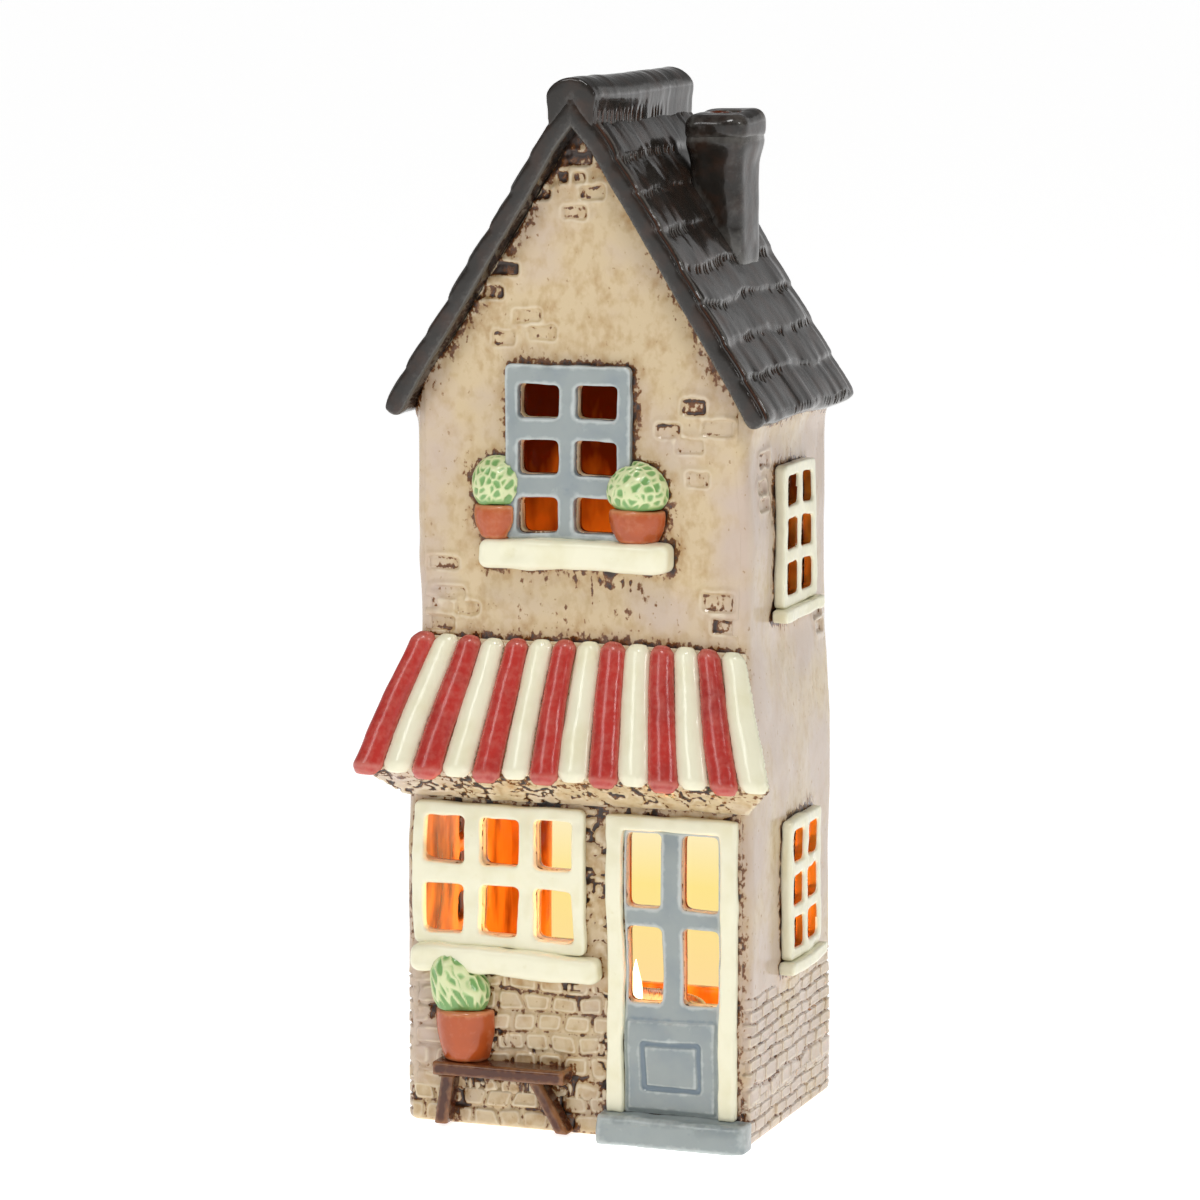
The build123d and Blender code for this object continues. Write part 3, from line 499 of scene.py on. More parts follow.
# Each finish: its material's name, the function that makes it up, and the values that function takes
FINISHES = {
    "stoneware": ("cream_glazed_stoneware", stoneware),
    "lining": ("amber_lining_glaze", lining),
    # The charcoal glaze's pale edge colour is partly a painted highlight on the lips, the ridge and the
    # verge bead
    "charcoal": ("charcoal_gloss_glaze", gloss_glaze, "charcoal", "ash", "tobacco", 6, 0.7),
    "ivory": ("ivory_gloss_glaze", gloss_glaze, "ivory", "ivory", "butter"),
    "blue": ("blue_grey_gloss_glaze", gloss_glaze, "blue", "pale_blue", "slate_blue"),
    "red": ("deep_red_gloss_glaze", gloss_glaze, "red", "rose", "oxblood", 14, 0.7, 0.18),
    "terracotta": ("terracotta_gloss_glaze", gloss_glaze, "terracotta", "peach", "brick_red", 9, 0.6),
    "bench": ("brown_gloss_glaze", gloss_glaze, "bench", "tan", "umber", 9, 0.5),
    "leaf": ("leaf_green_glaze", leaf_glaze),
    "wax": ("melted_paraffin", paraffin),
    "foil": ("drawn_aluminium_foil", drawn_metal, "foil", 0.2),
    "tin": ("bright_tinplate", drawn_metal, "foil", 0.3),
    "wick": ("charred_cotton", charred_cotton),
    "flame": ("candle_flame", candle_flame),
    "glow": ("candle_glow", warm_glow),
    "paper": ("studio_paper", studio_paper),
}
made_materials = {}


def finish_of(key):
    """Give a finish's material, made the first time that it is asked for."""
    if key not in made_materials:
        name, make_up, *values = FINISHES[key]
        material = bpy.data.materials.new(name)
        material.use_nodes = True
        tree = material.node_tree
        add = functools.partial(add_node, tree)
        inputs = make_up(add, add("TexCoord", out="Object"), *values)
        end = "Material Output" if "Surface" in inputs else "Principled BSDF"
        set_inputs(tree, tree.nodes[end], inputs)
        made_materials[key] = material
    return made_materials[key]


def lattice(cells, seed):
    """Hash lattice cells to steady values from -1 to 1."""
    key = cells.astype(np.int64) @ np.array((73856093, 19349663, 83492791)) + seed * 7919
    key = (key ^ (key >> 13)) * 1274126177
    return ((key ^ (key >> 16)) & 0xFFFF) / 32767.5 - 1


def noise(points, size, seed):
    """Give smooth lumps from -1 to 1; size is their width, for all axes or for each."""
    scaled = points / np.asarray(size)
    base = np.floor(scaled)
    part = scaled - base
    part = part ** 3 * (part * (6 * part - 15) + 10)
    total = np.zeros(len(points))
    for corner in itertools.product((0, 1), repeat=3):
        weight = np.prod(np.where(corner, part, 1 - part), axis=1)
        total += weight * lattice(base + corner, seed)
    return total


def ease(values, low, high):
    """Rise smoothly from 0 at low to 1 at high."""
    share = np.clip((values - low) / (high - low), 0, 1)
    return share * share * (3 - 2 * share)


def band(values, low, high, fall, end):
    """Rise smoothly from 0 at low to 1 at high, and fall back from fall to end."""
    return ease(values, low, high) * (1 - ease(values, fall, end))


def flat_map(across, along):
    """Lay two coordinates out on a flat sheet."""
    return np.stack((across, along, np.zeros(len(across))), axis=1)


def read_shape(items, place="co"):
    """Give the places and the normals of a mesh's vertices, or of its faces by their centres."""
    shape = []
    for field in (place, "normal"):
        values = np.empty(len(items) * 3)
        items.foreach_get(field, values)
        shape.append(values.reshape(-1, 3))
    return shape


def read_faces(mesh):
    """Give the centres and the normals of a mesh's faces."""
    return read_shape(mesh.polygons, "center")


def write_points(mesh, points):
    """Put a mesh's vertices at new places, none of them under the floor."""
    points[:, 2] = np.maximum(points[:, 2], 0)
    mesh.vertices.foreach_set("co", points.ravel())
    mesh.update()


def write_values(mesh, **fields):
    """Keep numbers for each vertex, for a material to read."""
    for name, values in fields.items():
        field = mesh.attributes.new(name, "FLOAT", "POINT")
        field.data.foreach_set("value", np.asarray(values).astype(np.float32))


def write_bend(mesh, calm=0.0):
    """Keep how far each vertex stands out: 0 in a hollow, 0.5 on a flat and 1 on an edge."""
    points, normals = read_shape(mesh.vertices)
    pairs = np.empty(len(mesh.edges) * 2, np.int64)
    mesh.edges.foreach_get("vertices", pairs)
    first, second = pairs.reshape(-1, 2).T
    ends = np.concatenate((first, second))
    others = np.concatenate((second, first))
    count = np.maximum(np.bincount(ends, minlength=len(points)), 1)

    def neighbours(values):
        return np.bincount(ends, values[others], len(points)) / count

    middle = np.stack([neighbours(points[:, axis]) for axis in range(3)], axis=1)
    step = np.linalg.norm(points[first] - points[second], axis=1).mean()
    bend = ((points - middle) * normals).sum(axis=1) / step
    for _ in range(3):
        bend = (bend + neighbours(bend)) / 2
    write_values(mesh, bend=np.clip(0.5 + 4.5 * bend * (1 - calm), 0, 1))


def hand_sway(points):
    """Give the slow waves of hand-rolled slabs; neighbours share them, so no joint opens."""
    waves = np.stack([noise(points, sizes().hand_wave, seed) for seed in (1, 2, 3)], axis=1)
    above_floor = ease(points[:, 2], FLOOR_Z + 2 * MM, FLOOR_Z + 14 * MM)
    return waves * sizes().hand_sway * above_floor[:, None]


def add_object(name, data):
    """Add an object to the scene."""
    thing = bpy.data.objects.new(name, data)
    bpy.context.scene.collection.objects.link(thing)
    return thing


def save_shell(shell, mesh):
    """Write a working mesh into a mesh."""
    shell.to_mesh(mesh)
    shell.free()
    return mesh


def fire(node, mesh_size, rounds):
    """Make a CAD node into an evenly meshed piece with its edges softened as glaze softens them."""
    mesh = frame["nodes"][node].data.copy()
    mesh.materials.clear()
    shell = bmesh.new()
    shell.from_mesh(mesh)
    bmesh.ops.remove_doubles(shell, verts=shell.verts, dist=0.001 * MM)
    piece = add_object(node + "_glazed", save_shell(shell, mesh))
    even = piece.modifiers.new("even_mesh", "REMESH")
    even.mode = "VOXEL"
    even.voxel_size = mesh_size
    soft = piece.modifiers.new("soft_edges", "SMOOTH")
    soft.factor = 0.5
    soft.iterations = rounds
    graph = bpy.context.evaluated_depsgraph_get()
    mesh = bpy.data.meshes.new_from_object(piece.evaluated_get(graph))
    piece.modifiers.clear()
    piece.data = mesh
    return piece


def refine(mesh, chosen):
    """Split the chosen faces in four, to carry finer relief."""
    shell = bmesh.new()
    shell.from_mesh(mesh)
    shell.faces.ensure_lookup_table()
    edges = {edge for index in np.flatnonzero(chosen) for edge in shell.faces[index].edges}
    bmesh.ops.subdivide_edges(shell, edges=list(edges), cuts=1, use_grid_fill=True)
    save_shell(shell, mesh)


def smooth(mesh):
    """Shade a mesh smooth."""
    mesh.polygons.foreach_set("use_smooth", np.ones(len(mesh.polygons), bool))


def line(mesh, chosen):
    """Put the lining glaze on the chosen faces."""
    mesh.materials.append(finish_of("lining"))
    mesh.polygons.foreach_set("material_index", chosen.astype(np.int32))


def seat(piece, node, finish, lined=None):
    """Glaze a piece and let it stand for a CAD node, on its body and with its material slot."""
    piece.data.materials.append(finish_of(finish))
    if lined is not None:
        line(piece.data, lined)
    smooth(piece.data)
    body = next(name for name, nodes in BODIES.items() if node in nodes)
    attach(piece, body)
    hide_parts(node)


def sprig(node, finish, rounds=12, lump=0.2, lump_size=6, swell=0.0):
    """Make a small applied piece: softened, swaying with the wall and slightly lumpy; sizes in mm."""
    piece = fire(node, sizes().sprig_mesh, rounds)
    mesh = piece.data
    points, normals = read_shape(mesh.vertices)
    lumps = noise(points, lump_size * MM, 11) + 0.5 * noise(points, lump_size * MM / 2.3, 12)
    points += hand_sway(points) + normals * (swell * MM + lumps * (lump * MM))[:, None]
    write_points(mesh, points)
    write_bend(mesh)
    seat(piece, node, finish)
    return piece


def line_panes(piece, node):
    """Carry the lining glaze out through the panes of a side window, almost to its face."""
    low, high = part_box(node)
    middle = (low + high) / 2
    half = (high - low) / 2
    centres, normals = read_faces(piece.data)
    beside = np.abs(centres - np.array(middle)) < np.array(half) - 1.2 * MM
    face_x = high.x if middle.x > 0 else low.x
    sunk = np.abs(face_x - centres[:, 0]) > 0.7 * MM
    line(piece.data, beside[:, 1] & beside[:, 2] & sunk & (np.abs(normals[:, 0]) < 0.7))


def applied_tree():
    """Give a search tree of every piece that sits on the walls."""
    corners = []
    faces = []
    for node in APPLIED_NODES:
        mesh = frame["nodes"][node].data
        start = len(corners)
        corners.extend(vertex.co[:] for vertex in mesh.vertices)
        faces.extend([start + index for index in face.vertices] for face in mesh.polygons)
    return BVHTree.FromPolygons(corners, faces)


def gap_to_pieces(points, tree):
    """Give each point's distance from the nearest applied piece, up to the reach of the fringe."""
    reach = sizes().halo_reach
    found = [tree.find_nearest(Vector(point), reach)[3] for point in points]
    return np.array([reach if gap is None else gap for gap in found])


def brickwork(points, axis, face):
    """Give the joints of hand-cut running-bond bricks, and the relief of their rims and own lifts."""
    settings = sizes()
    brick_length = getattr(settings, face + "_brick_length")
    brick_height = getattr(settings, face + "_brick_height")
    joint, bed = (settings.brick_joint, 1.0) if face == "front" else (0.9 * settings.brick_joint, 0.5)
    seed = 31
    flat = flat_map(points[:, axis], points[:, 2])
    across = points[:, axis] + 0.8 * MM * noise(flat, 5 * MM, seed)
    up = points[:, 2] + 0.45 * MM * noise(flat, 7 * MM, seed + 1)
    row = np.floor(up / brick_height)
    column = across / brick_length + 0.5 * np.mod(row, 2)
    side = np.abs(column - np.round(column)) * brick_length
    level = np.abs(up / brick_height - np.round(up / brick_height)) * brick_height / bed
    edge = 2 * joint - np.hypot(np.maximum(2 * joint - side, 0), np.maximum(2 * joint - level, 0))
    lift = lattice(flat_map(np.floor(column), row), seed)
    joints = 1 - ease(edge, 0.2 * joint, joint)
    rims = band(edge, 0.6 * joint, 1.1 * joint, 1.3 * joint, 2 * joint)
    return joints, settings.brick_depth * (joints - 0.3 * rims) - 0.14 * MM * lift


def joint_stain(points, joints):
    """Give the stain in brick joints, worn pale in places."""
    return joints * (0.12 + 0.45 * ease(noise(points, 6 * MM, 34), 0.0, 0.8))


def stamp_relief(points, along_axis, stamps):
    """Give the depth of the stamped bricks with their raised rims, and the stain that pools in each."""
    warp = 0.4 * MM * noise(points, 2.4 * MM, 26)
    pooled = ease(noise(points, 3.1 * MM, 27) + 0.6 * noise(points, 1.1 * MM, 28), -0.8, 0.6)
    corner = 1.0 * MM
    depth = np.zeros(len(points))
    stain = np.zeros(len(points))
    for x, z, width, height, brown in stamps:
        side = np.abs(points[:, along_axis] - x * MM) - width * MM / 2 + corner
        level = np.abs(points[:, 2] - z * MM) - height * MM / 2 + corner
        out = np.hypot(np.maximum(side, 0), np.maximum(level, 0)) + np.minimum(np.maximum(side, level), 0)
        out = out - corner + warp
        inside = 1 - ease(out, -0.6 * MM, 0.2 * MM)
        rim = band(out, -0.3 * MM, 0.5 * MM, 0.6 * MM, 2.0 * MM)
        depth += inside - 0.5 * rim
        border = ease(out, -1.5 * MM, -0.5 * MM)
        stain += inside * (brown * (0.6 + 0.6 * border) * pooled - 0.05) - 0.2 * rim
    return depth, stain


def cells(points, size, seed, line_width):
    """Give 1 on the lines between scattered pads and 0 well within each."""
    scaled = points / np.asarray(size)
    base = np.floor(scaled)
    nearest = np.full(len(points), 9.0)
    second = np.full(len(points), 9.0)
    for step in itertools.product((-1, 0, 1), repeat=3):
        cell = base + step
        jitter = np.stack([lattice(cell, seed + axis) for axis in range(3)], axis=1)
        gap = np.linalg.norm(cell + 0.5 + 0.38 * jitter - scaled, axis=1)
        second = np.minimum(second, np.maximum(gap, nearest))
        nearest = np.minimum(nearest, gap)
    return 1 - ease(second - nearest, 0.04, line_width)


def veins(points, size, seed):
    """Give 1 along broken, wandering lines and 0 between them."""
    size = np.asarray(size)
    swirl = noise(points, size, seed) + 0.5 * noise(points, size / 2.1, seed + 1)
    broken = ease(noise(points, 1.7 * size, seed + 2), -0.5, 0.2)
    return (1 - ease(np.abs(swirl), 0.05, 0.3)) * broken


def fringe_reach(points, gabled):
    """Give how far the brown fringe spreads: in patches, and further under the verges of a gable, where on
    the left it is partly a painted shadow of the verge.
    """
    settings = sizes()
    patchy = 0.5 + 0.45 * noise(points, 12 * MM, 29) + 0.2 * noise(points, 4 * MM, 30)
    if gabled:
        pitch = settings.roof_pitch
        below = (GABLE_Z - points[:, 2]) * math.cos(pitch) - np.abs(points[:, 0]) * math.sin(pitch)
        lower = 1 - ease(points[:, 2], GABLE_Z - 45 * MM, GABLE_Z - 25 * MM)
        # Under the verges: brown stain, and on the left, where it runs all the way up, partly a painted
        # shadow of the roof
        verge_stain_and_shadow = np.where(points[:, 0] < 0, 0.5, 0.75 * lower)
        patchy += verge_stain_and_shadow * (1 - ease(below, 6 * MM, 9 * MM))
    return settings.halo_reach * np.maximum(patchy, 0.14)


def front_drips(points):
    """Give the stain of the runs under the upper sill and of the brown gable top."""
    low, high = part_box("upper_window_sill")
    under = ease(points[:, 2], AWNING_TOP_Z, low.z - 8 * MM) * (points[:, 2] < low.z)
    under *= band(points[:, 0], low.x, low.x + 20 * MM, high.x - 14 * MM, high.x)
    drips = ease(noise(points, (1.0 * MM, 1.0 * MM, 3.6 * MM), 38), 0.3, 0.6)
    return 0.6 * under * drips + 0.6 * ease(points[:, 2], GABLE_Z - 18 * MM, GABLE_Z - 4 * MM)


def chamber_faces(mesh, node, out_axis, out_sign):
    """Tell which faces of a wall are inside the chamber or well within its openings."""
    low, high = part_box(node)
    gabled = out_axis == 1
    along_axis = 1 - out_axis
    centres, normals = read_faces(mesh)
    outer = high[out_axis] if out_sign > 0 else low[out_axis]
    lean = np.clip((centres[:, 2] - AWNING_LIP_Z) / (AWNING_TOP_Z - AWNING_LIP_Z), 0, 1)
    front = SHOP_FRONT_Y + lean * (UPPER_FRONT_Y - SHOP_FRONT_Y)
    if node == "front_wall":
        outer = front
    behind = (outer - centres[:, out_axis]) * out_sign
    turned_out = normals[:, out_axis] * out_sign
    inset, depth = (WALL, 0.45 * WALL) if gabled else (2.5 * WALL, 0.12 * WALL)
    well_in = np.abs(centres[:, along_axis]) < high[along_axis] - inset
    inner = (behind > depth) & ((turned_out < -0.5) | (well_in & (turned_out < 0.5)))
    if not gabled:
        inner &= (centres[:, 1] < high.y - 0.9 * WALL) & (centres[:, 1] > front + 0.9 * WALL)
    return inner


def wall(node, tree, out_axis, out_sign, bricks, stamps):
    """Make one wall: swaying slab, bricks, a pebbly or torn fringe round its pieces, amber inside."""
    settings = sizes()
    piece = fire(node, settings.wall_mesh, 5)
    mesh = piece.data
    along_axis = 1 - out_axis
    gabled = out_axis == 1
    centres, normals = read_faces(mesh)
    outside = normals[:, out_axis] * out_sign > 0.5
    fine = outside & (centres[:, 2] < settings.brick_top + 4 * MM) & bool(bricks)
    for x, z, width, height, _ in stamps:
        beside = np.abs(centres[:, along_axis] - x * MM) < width * MM / 2 + 1.5 * MM
        fine |= outside & beside & (np.abs(centres[:, 2] - z * MM) < height * MM / 2 + 1.5 * MM)
    if fine.any():
        refine(mesh, fine)

    points, normals = read_shape(mesh.vertices)
    facing = ease(normals[:, out_axis] * out_sign, 0.3, 0.7)
    skin = np.maximum(facing, ease(np.abs(normals[:, 1]), 0.3, 0.7) * (not gabled))
    seen = np.flatnonzero(skin > 0)
    gap = np.full(len(points), settings.halo_reach)
    gap[seen] = gap_to_pieces(points[seen], tree)
    halo = np.clip(1 - gap / fringe_reach(points, gabled), 0, 1)
    depth, stain = stamp_relief(points, along_axis, stamps)
    relief = settings.stamp_depth * depth

    # Brickwork at the foot, worn pale in places and stained in others
    if bricks:
        joints, brick_relief = brickwork(points, along_axis, bricks)
        ragged = settings.brick_top + 2.2 * MM * noise(points, 9 * MM, 33)
        zone = 1 - ease(points[:, 2], ragged - 1.5 * MM, ragged + 0.5 * MM)
        relief += zone * brick_relief
        stain += zone * joint_stain(points, joints)

    # Clay worked up in pebbles where the shop front's pieces are luted on
    crowd = np.zeros(len(points))
    if node == "front_wall":
        crowd = ease(1 - gap / settings.halo_reach, 0.35, 0.75) * facing
        crowd *= band(
            points[:, 2], PEBBLE_FOOT_Z, PEBBLE_FOOT_Z + 7 * MM, PEBBLE_TOP_Z, PEBBLE_TOP_Z + 6 * MM
        )
        crevice = veins(points, 3.4 * MM, 37)
        relief += crowd * (0.7 * crevice - 0.25 + 0.2 * noise(points, 2.2 * MM, 40)) * MM
        stain += crowd * (0.95 * crevice - 0.4) + front_drips(points)
    relief += 0.3 * MM * ease(halo, 0.4, 0.9) * (1 - crowd) * noise(points, 1.7 * MM, 35)
    relief += 0.16 * MM * noise(points, 7 * MM, 36)
    points += hand_sway(points) - normals * (relief * facing)[:, None]

    # Ends that meet another slab run on into it, so no groove shows
    points[:, 2] -= 3 * MM * (1 - ease(points[:, 2], FLOOR_Z, FLOOR_Z + 6 * MM))
    seam = np.where(points[:, 2] > AWNING_LIP_Z, UPPER_SEAM_X, LOWER_SEAM_X)
    if gabled:
        aside = np.abs(points[:, 0])
        points[:, 0] += np.sign(points[:, 0]) * 2 * MM * ease(aside, seam - 6 * MM, seam - 2 * MM)
    aside = np.abs(points[:, 0])
    calm = (1 - ease(np.abs(aside - seam), 1.5 * MM, 3 * MM)) * (np.abs(normals[:, 1]) > 0.2)
    front_coat = 0.22 + 0.3 * ease(aside, seam - 12 * MM, seam)
    side_coat = 0.62 - 0.08 * ease(-normals[:, 1], 0.2, 0.7)
    write_points(mesh, points)
    write_bend(mesh, calm)
    write_values(mesh, halo=halo * skin, stain=stain * facing, thick=front_coat if gabled else side_coat)
    seat(piece, node, "stoneware", chamber_faces(mesh, node, out_axis, out_sign))


def base_piece(tree):
    """Make the base slab, with the brickwork carried down to the foot."""
    piece = fire("base_slab", sizes().wall_mesh, 4)
    mesh = piece.data
    _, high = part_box("base_slab")
    centres, normals = read_faces(mesh)
    refine(mesh, (np.abs(normals[:, 2]) < 0.5) & (centres[:, 1] < high.y - 2 * MM))
    points, normals = read_shape(mesh.vertices)
    front = ease(-normals[:, 1], 0.3, 0.7)
    side = ease(np.abs(normals[:, 0]), 0.3, 0.7)
    joints = np.zeros(len(points))
    relief = np.zeros(len(points))
    for share, axis, face in ((front, 0, "front"), (side, 1, "side")):
        lines, brick_relief = brickwork(points, axis, face)
        joints += share * lines
        relief += share * brick_relief
    relief = np.maximum(relief * ease(points[:, 2], 0.5 * MM, 2 * MM), -0.1 * MM)
    points -= normals * relief[:, None]
    write_points(mesh, points)
    write_bend(mesh)
    halo = np.clip(1 - gap_to_pieces(points, tree) / (0.6 * sizes().halo_reach), 0, 1)
    write_values(mesh, stain=joint_stain(points, joints), halo=halo, thick=0.3 * front + 0.62 * side)
    centres, normals = read_faces(mesh)
    inside = (np.abs(centres[:, 0]) < high.x - WALL) & (np.abs(centres[:, 1]) < high.y - WALL)
    seat(piece, "base_slab", "stoneware", inside & (normals[:, 2] > 0.5))


def tiled_slope(node, side):
    """Make one roof slope: swelling courses, nicks under each lip, plain verges and a thin front bead."""
    settings = sizes()
    piece = fire(node, settings.roof_mesh, 12)
    mesh = piece.data
    pitch = settings.roof_pitch
    course = settings.tile_course
    down = np.array((side * math.cos(pitch), 0, -math.sin(pitch)))
    out = np.array((side * math.sin(pitch), 0, math.cos(pitch)))
    ridge = np.array((0, 0, GABLE_Z))
    centres, normals = read_faces(mesh)
    head = np.mod((centres - ridge) @ down - settings.ridge_reach + 1.5 * MM, course)
    detailed = (head < 4.5 * MM) | (centres[:, 1] < ROOF_FRONT_Y + 4.8 * MM)
    refine(mesh, (normals @ out > 0.4) & detailed)

    points, normals = read_shape(mesh.vertices)
    run = (points - ridge) @ down - settings.ridge_reach
    row = np.round(run / course)
    lip = run - row * course
    facing = ease(normals @ out, 0.2, 0.6)
    flat = flat_map(points[:, 1], run)
    from_front = points[:, 1] - ROOF_FRONT_Y
    from_verge = np.minimum(from_front, ROOF_BACK_Y - points[:, 1])
    inland = ease(from_verge, VERGE_FADE_START, VERGE_FADE_END)

    # Glaze fills the steps, most of all along the verges
    above = np.maximum((points - ridge) @ out - settings.tile_seat, 0)
    points -= (above * (0.5 - 0.3 * inland))[:, None] * out

    # Lips wander, long ripples run down the slope and short nicks are pressed in under the lips
    lip_wave = noise(flat, (10 * MM, 9 * MM, 1), 41) + 0.4 * noise(flat, (4 * MM, 9 * MM, 1), 42)
    fold = 0.8 * noise(flat, (3.2 * MM, 26 * MM, 1), 43) + 1.4 * noise(flat, (9 * MM, 18 * MM, 1), 44)
    comb = (points[:, 1] + 0.35 * lip) / settings.nick_pitch + 0.6 * noise(flat, (5 * MM, 5 * MM, 1), 45)
    tooth = np.round(comb)
    own = lattice(flat_map(tooth, row), 46)
    groove = (1 - ease(np.abs(comb - tooth), 0.08, 0.36)) * ease(own, -0.6, 0.0)
    patchy = ease(noise(flat, (13 * MM, 6 * MM, 1), 47), -0.3, 0.3)
    reach = (1.9 + 0.8 * own) * MM
    nick = groove * patchy * band(lip, -0.6 * MM, 0.3 * MM, 0.5 * reach, reach)
    roll = (from_front - BEAD_INSET - 0.6 * MM * noise(flat, (1, 6 * MM, 1), 48)) / BEAD_WIDTH
    lift = inland * (0.2 * MM * fold - settings.nick_depth * nick) + BEAD_HEIGHT * np.exp(-roll ** 2)
    points += (facing * inland * 0.8 * MM * lip_wave)[:, None] * down
    points += (facing * lift)[:, None] * out
    lumps = 0.2 * MM * noise(points, 8 * MM, 49)
    points += hand_sway(points) + normals * ((1 - facing) * lumps)[:, None]
    points[:, 0] -= side * 1.5 * MM * (1 - ease(np.abs(points[:, 0]), 0, 5 * MM))
    write_points(mesh, points)
    write_bend(mesh, 0.8 * ease(-normals[:, 1], 0.6, 0.8))

    # The chamber's ceiling has the lining glaze
    centres, normals = read_faces(mesh)
    under = (normals @ out < -0.5) & (centres[:, 1] > UPPER_FRONT_Y + WALL / 2)
    under &= centres[:, 1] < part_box("rear_wall")[1].y - WALL / 2
    under &= np.abs(centres[:, 0]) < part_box("right_wall")[0].x
    seat(piece, node, "charcoal", under)


def ridge_piece():
    """Make the ridge roll: rounded over, rippled across, nicked along its lips and bedded in the slopes."""
    settings = sizes()
    piece = fire("ridge_roll", 0.4 * MM, 16)
    mesh = piece.data
    points, normals = read_shape(mesh.vertices)
    cosine = math.cos(settings.roof_pitch)
    sine = math.sin(settings.roof_pitch)
    aside = np.abs(points[:, 0])
    side = np.sign(points[:, 0])
    run = aside * cosine + (GABLE_Z - points[:, 2]) * sine - settings.ridge_reach
    above = aside * sine + (points[:, 2] - GABLE_Z) * cosine - settings.tile_seat

    # The lips thin out and run into the slopes
    sunk = 0.4 * np.maximum(above, 0) * ease(run, -5 * MM, 0)
    points[:, 0] -= side * sunk * sine
    points[:, 2] -= sunk * cosine
    slanted = flat_map(points[:, 1] + 0.3 * run, run)
    ripple = 0.7 * noise(slanted, (2.6 * MM, 12 * MM, 1), 51)
    ripple += 1.2 * noise(slanted, (8 * MM, 10 * MM, 1), 52)
    comb = slanted[:, 0] / (1.7 * settings.nick_pitch) + 0.6 * noise(slanted, (5 * MM, 5 * MM, 1), 53)
    groove = 1 - ease(np.abs(comb - np.round(comb)), 0.05, 0.3)
    patchy = ease(noise(slanted, (9 * MM, 30 * MM, 1), 54), -0.4, 0.2)
    nick = groove * patchy * ease(run, -1.8 * MM, -0.3 * MM)
    points += hand_sway(points) + normals * (0.12 * MM * ripple - 0.4 * MM * nick)[:, None]
    points[:, 2] -= 3 * MM * ease(-normals[:, 2], 0.0, 0.4)
    write_points(mesh, points)
    write_bend(mesh, 0.85 * (1 - ease(points[:, 1], ROOF_FRONT_Y + 1 * MM, ROOF_FRONT_Y + 3 * MM)))
    seat(piece, "ridge_roll", "charcoal")


def chimney_pieces():
    """Make the chimney: a soft stack that flares into its rim, and an amber flue."""
    low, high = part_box("chimney_rim")
    middle = np.array(((low.x + high.x) / 2, (low.y + high.y) / 2))
    stack = sprig("chimney_stack", "charcoal", rounds=60, lump=0.25, lump_size=9, swell=0.5)
    points, normals = read_shape(stack.data.vertices)
    upright = normals[:, 2]
    points[:, 2] += 2 * MM * (ease(upright, 0.3, 0.8) - ease(-upright, 0.1, 0.4))
    out = points[:, :2] - middle
    reach = np.linalg.norm(out, axis=1)
    flare = 1.1 * MM * ease(points[:, 2], low.z - 7 * MM, low.z) * ease(reach, 5 * MM, 6 * MM)
    points[:, :2] += out / np.maximum(reach, 1 * MM)[:, None] * flare[:, None]
    write_points(stack.data, points)

    # The rim leans towards the front
    rim = sprig("chimney_rim", "charcoal", rounds=20, lump=0.3, lump_size=9, swell=0.2)
    points, _ = read_shape(rim.data.vertices)
    points[:, 2] -= 0.9 * MM * (1 - ease(points[:, 1], low.y, high.y)) * ease(points[:, 2], low.z, high.z)
    write_points(rim.data, points)
    for piece in (stack, rim):
        centres, _ = read_faces(piece.data)
        line(piece.data, np.linalg.norm(centres[:, :2] - middle, axis=1) < FLUE_REACH)


def canopy_piece():
    """Make the awning's body: cream with brown between the stripes, pebbled under its lip."""
    piece = fire("awning_canopy", 0.5 * MM, 4)
    mesh = piece.data
    points, normals = read_shape(mesh.vertices)
    under = ease(-normals[:, 2], 0.05, 0.4)
    crevice = veins(points, (2.6 * MM, 2.6 * MM, 4 * MM), 61)
    lumps = noise(points, 2.4 * MM, 65)
    lip = ease(points[:, 2] + 2 * MM * lumps, AWNING_LIP_Z - 4 * MM, AWNING_LIP_Z)
    points += hand_sway(points) + normals * (MM * under * (0.15 + 0.2 * lumps - 0.5 * crevice))[:, None]
    write_points(mesh, points)
    write_bend(mesh)
    soffit = 0.85 * crevice - 0.05 + 0.15 * lumps + 0.4 * lip
    stain = under * soffit + 0.25 * (1 - under) * noise(points, 3 * MM, 64)
    write_values(mesh, halo=0.4 * (1 - under), stain=stain, thick=np.full(len(points), 0.35))
    seat(piece, "awning_canopy", "stoneware")


def leaf_dots(points):
    """Give the pale net round the leaf dots of a clipped ball."""
    leaf = sizes().leaf_size
    return cells(points + 0.25 * leaf * noise(points, leaf, 71)[:, None], leaf, 91, 0.48)


def leaf_strokes(points):
    """Give the pale ribs between the long leaves of the bench plant."""
    leaf = sizes().leaf_size
    slanted = points + np.outer(points[:, 2], (0.45, 0, 0))
    return cells(slanted + 0.2 * leaf * noise(points, leaf, 73)[:, None], (leaf, leaf, 3.2 * leaf), 94, 0.4)


def bush(node, rib_of, lift):
    """Make a clipped bush: leaf pads pressed in, with pale ridges between them."""
    piece = fire(node, sizes().sprig_mesh, 8)
    mesh = piece.data
    points, normals = read_shape(mesh.vertices)
    low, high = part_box(node)
    rib = rib_of(points) * ease((points[:, 2] - low.z) / (high.z - low.z), 0.02, 0.2)
    lumps = noise(points, 5 * MM, 72)
    points += hand_sway(points) + normals * (lift * (rib - 0.5) + 0.3 * MM * lumps)[:, None]
    write_points(mesh, points)
    write_bend(mesh)
    write_values(mesh, rib=rib)
    seat(piece, node, "leaf")


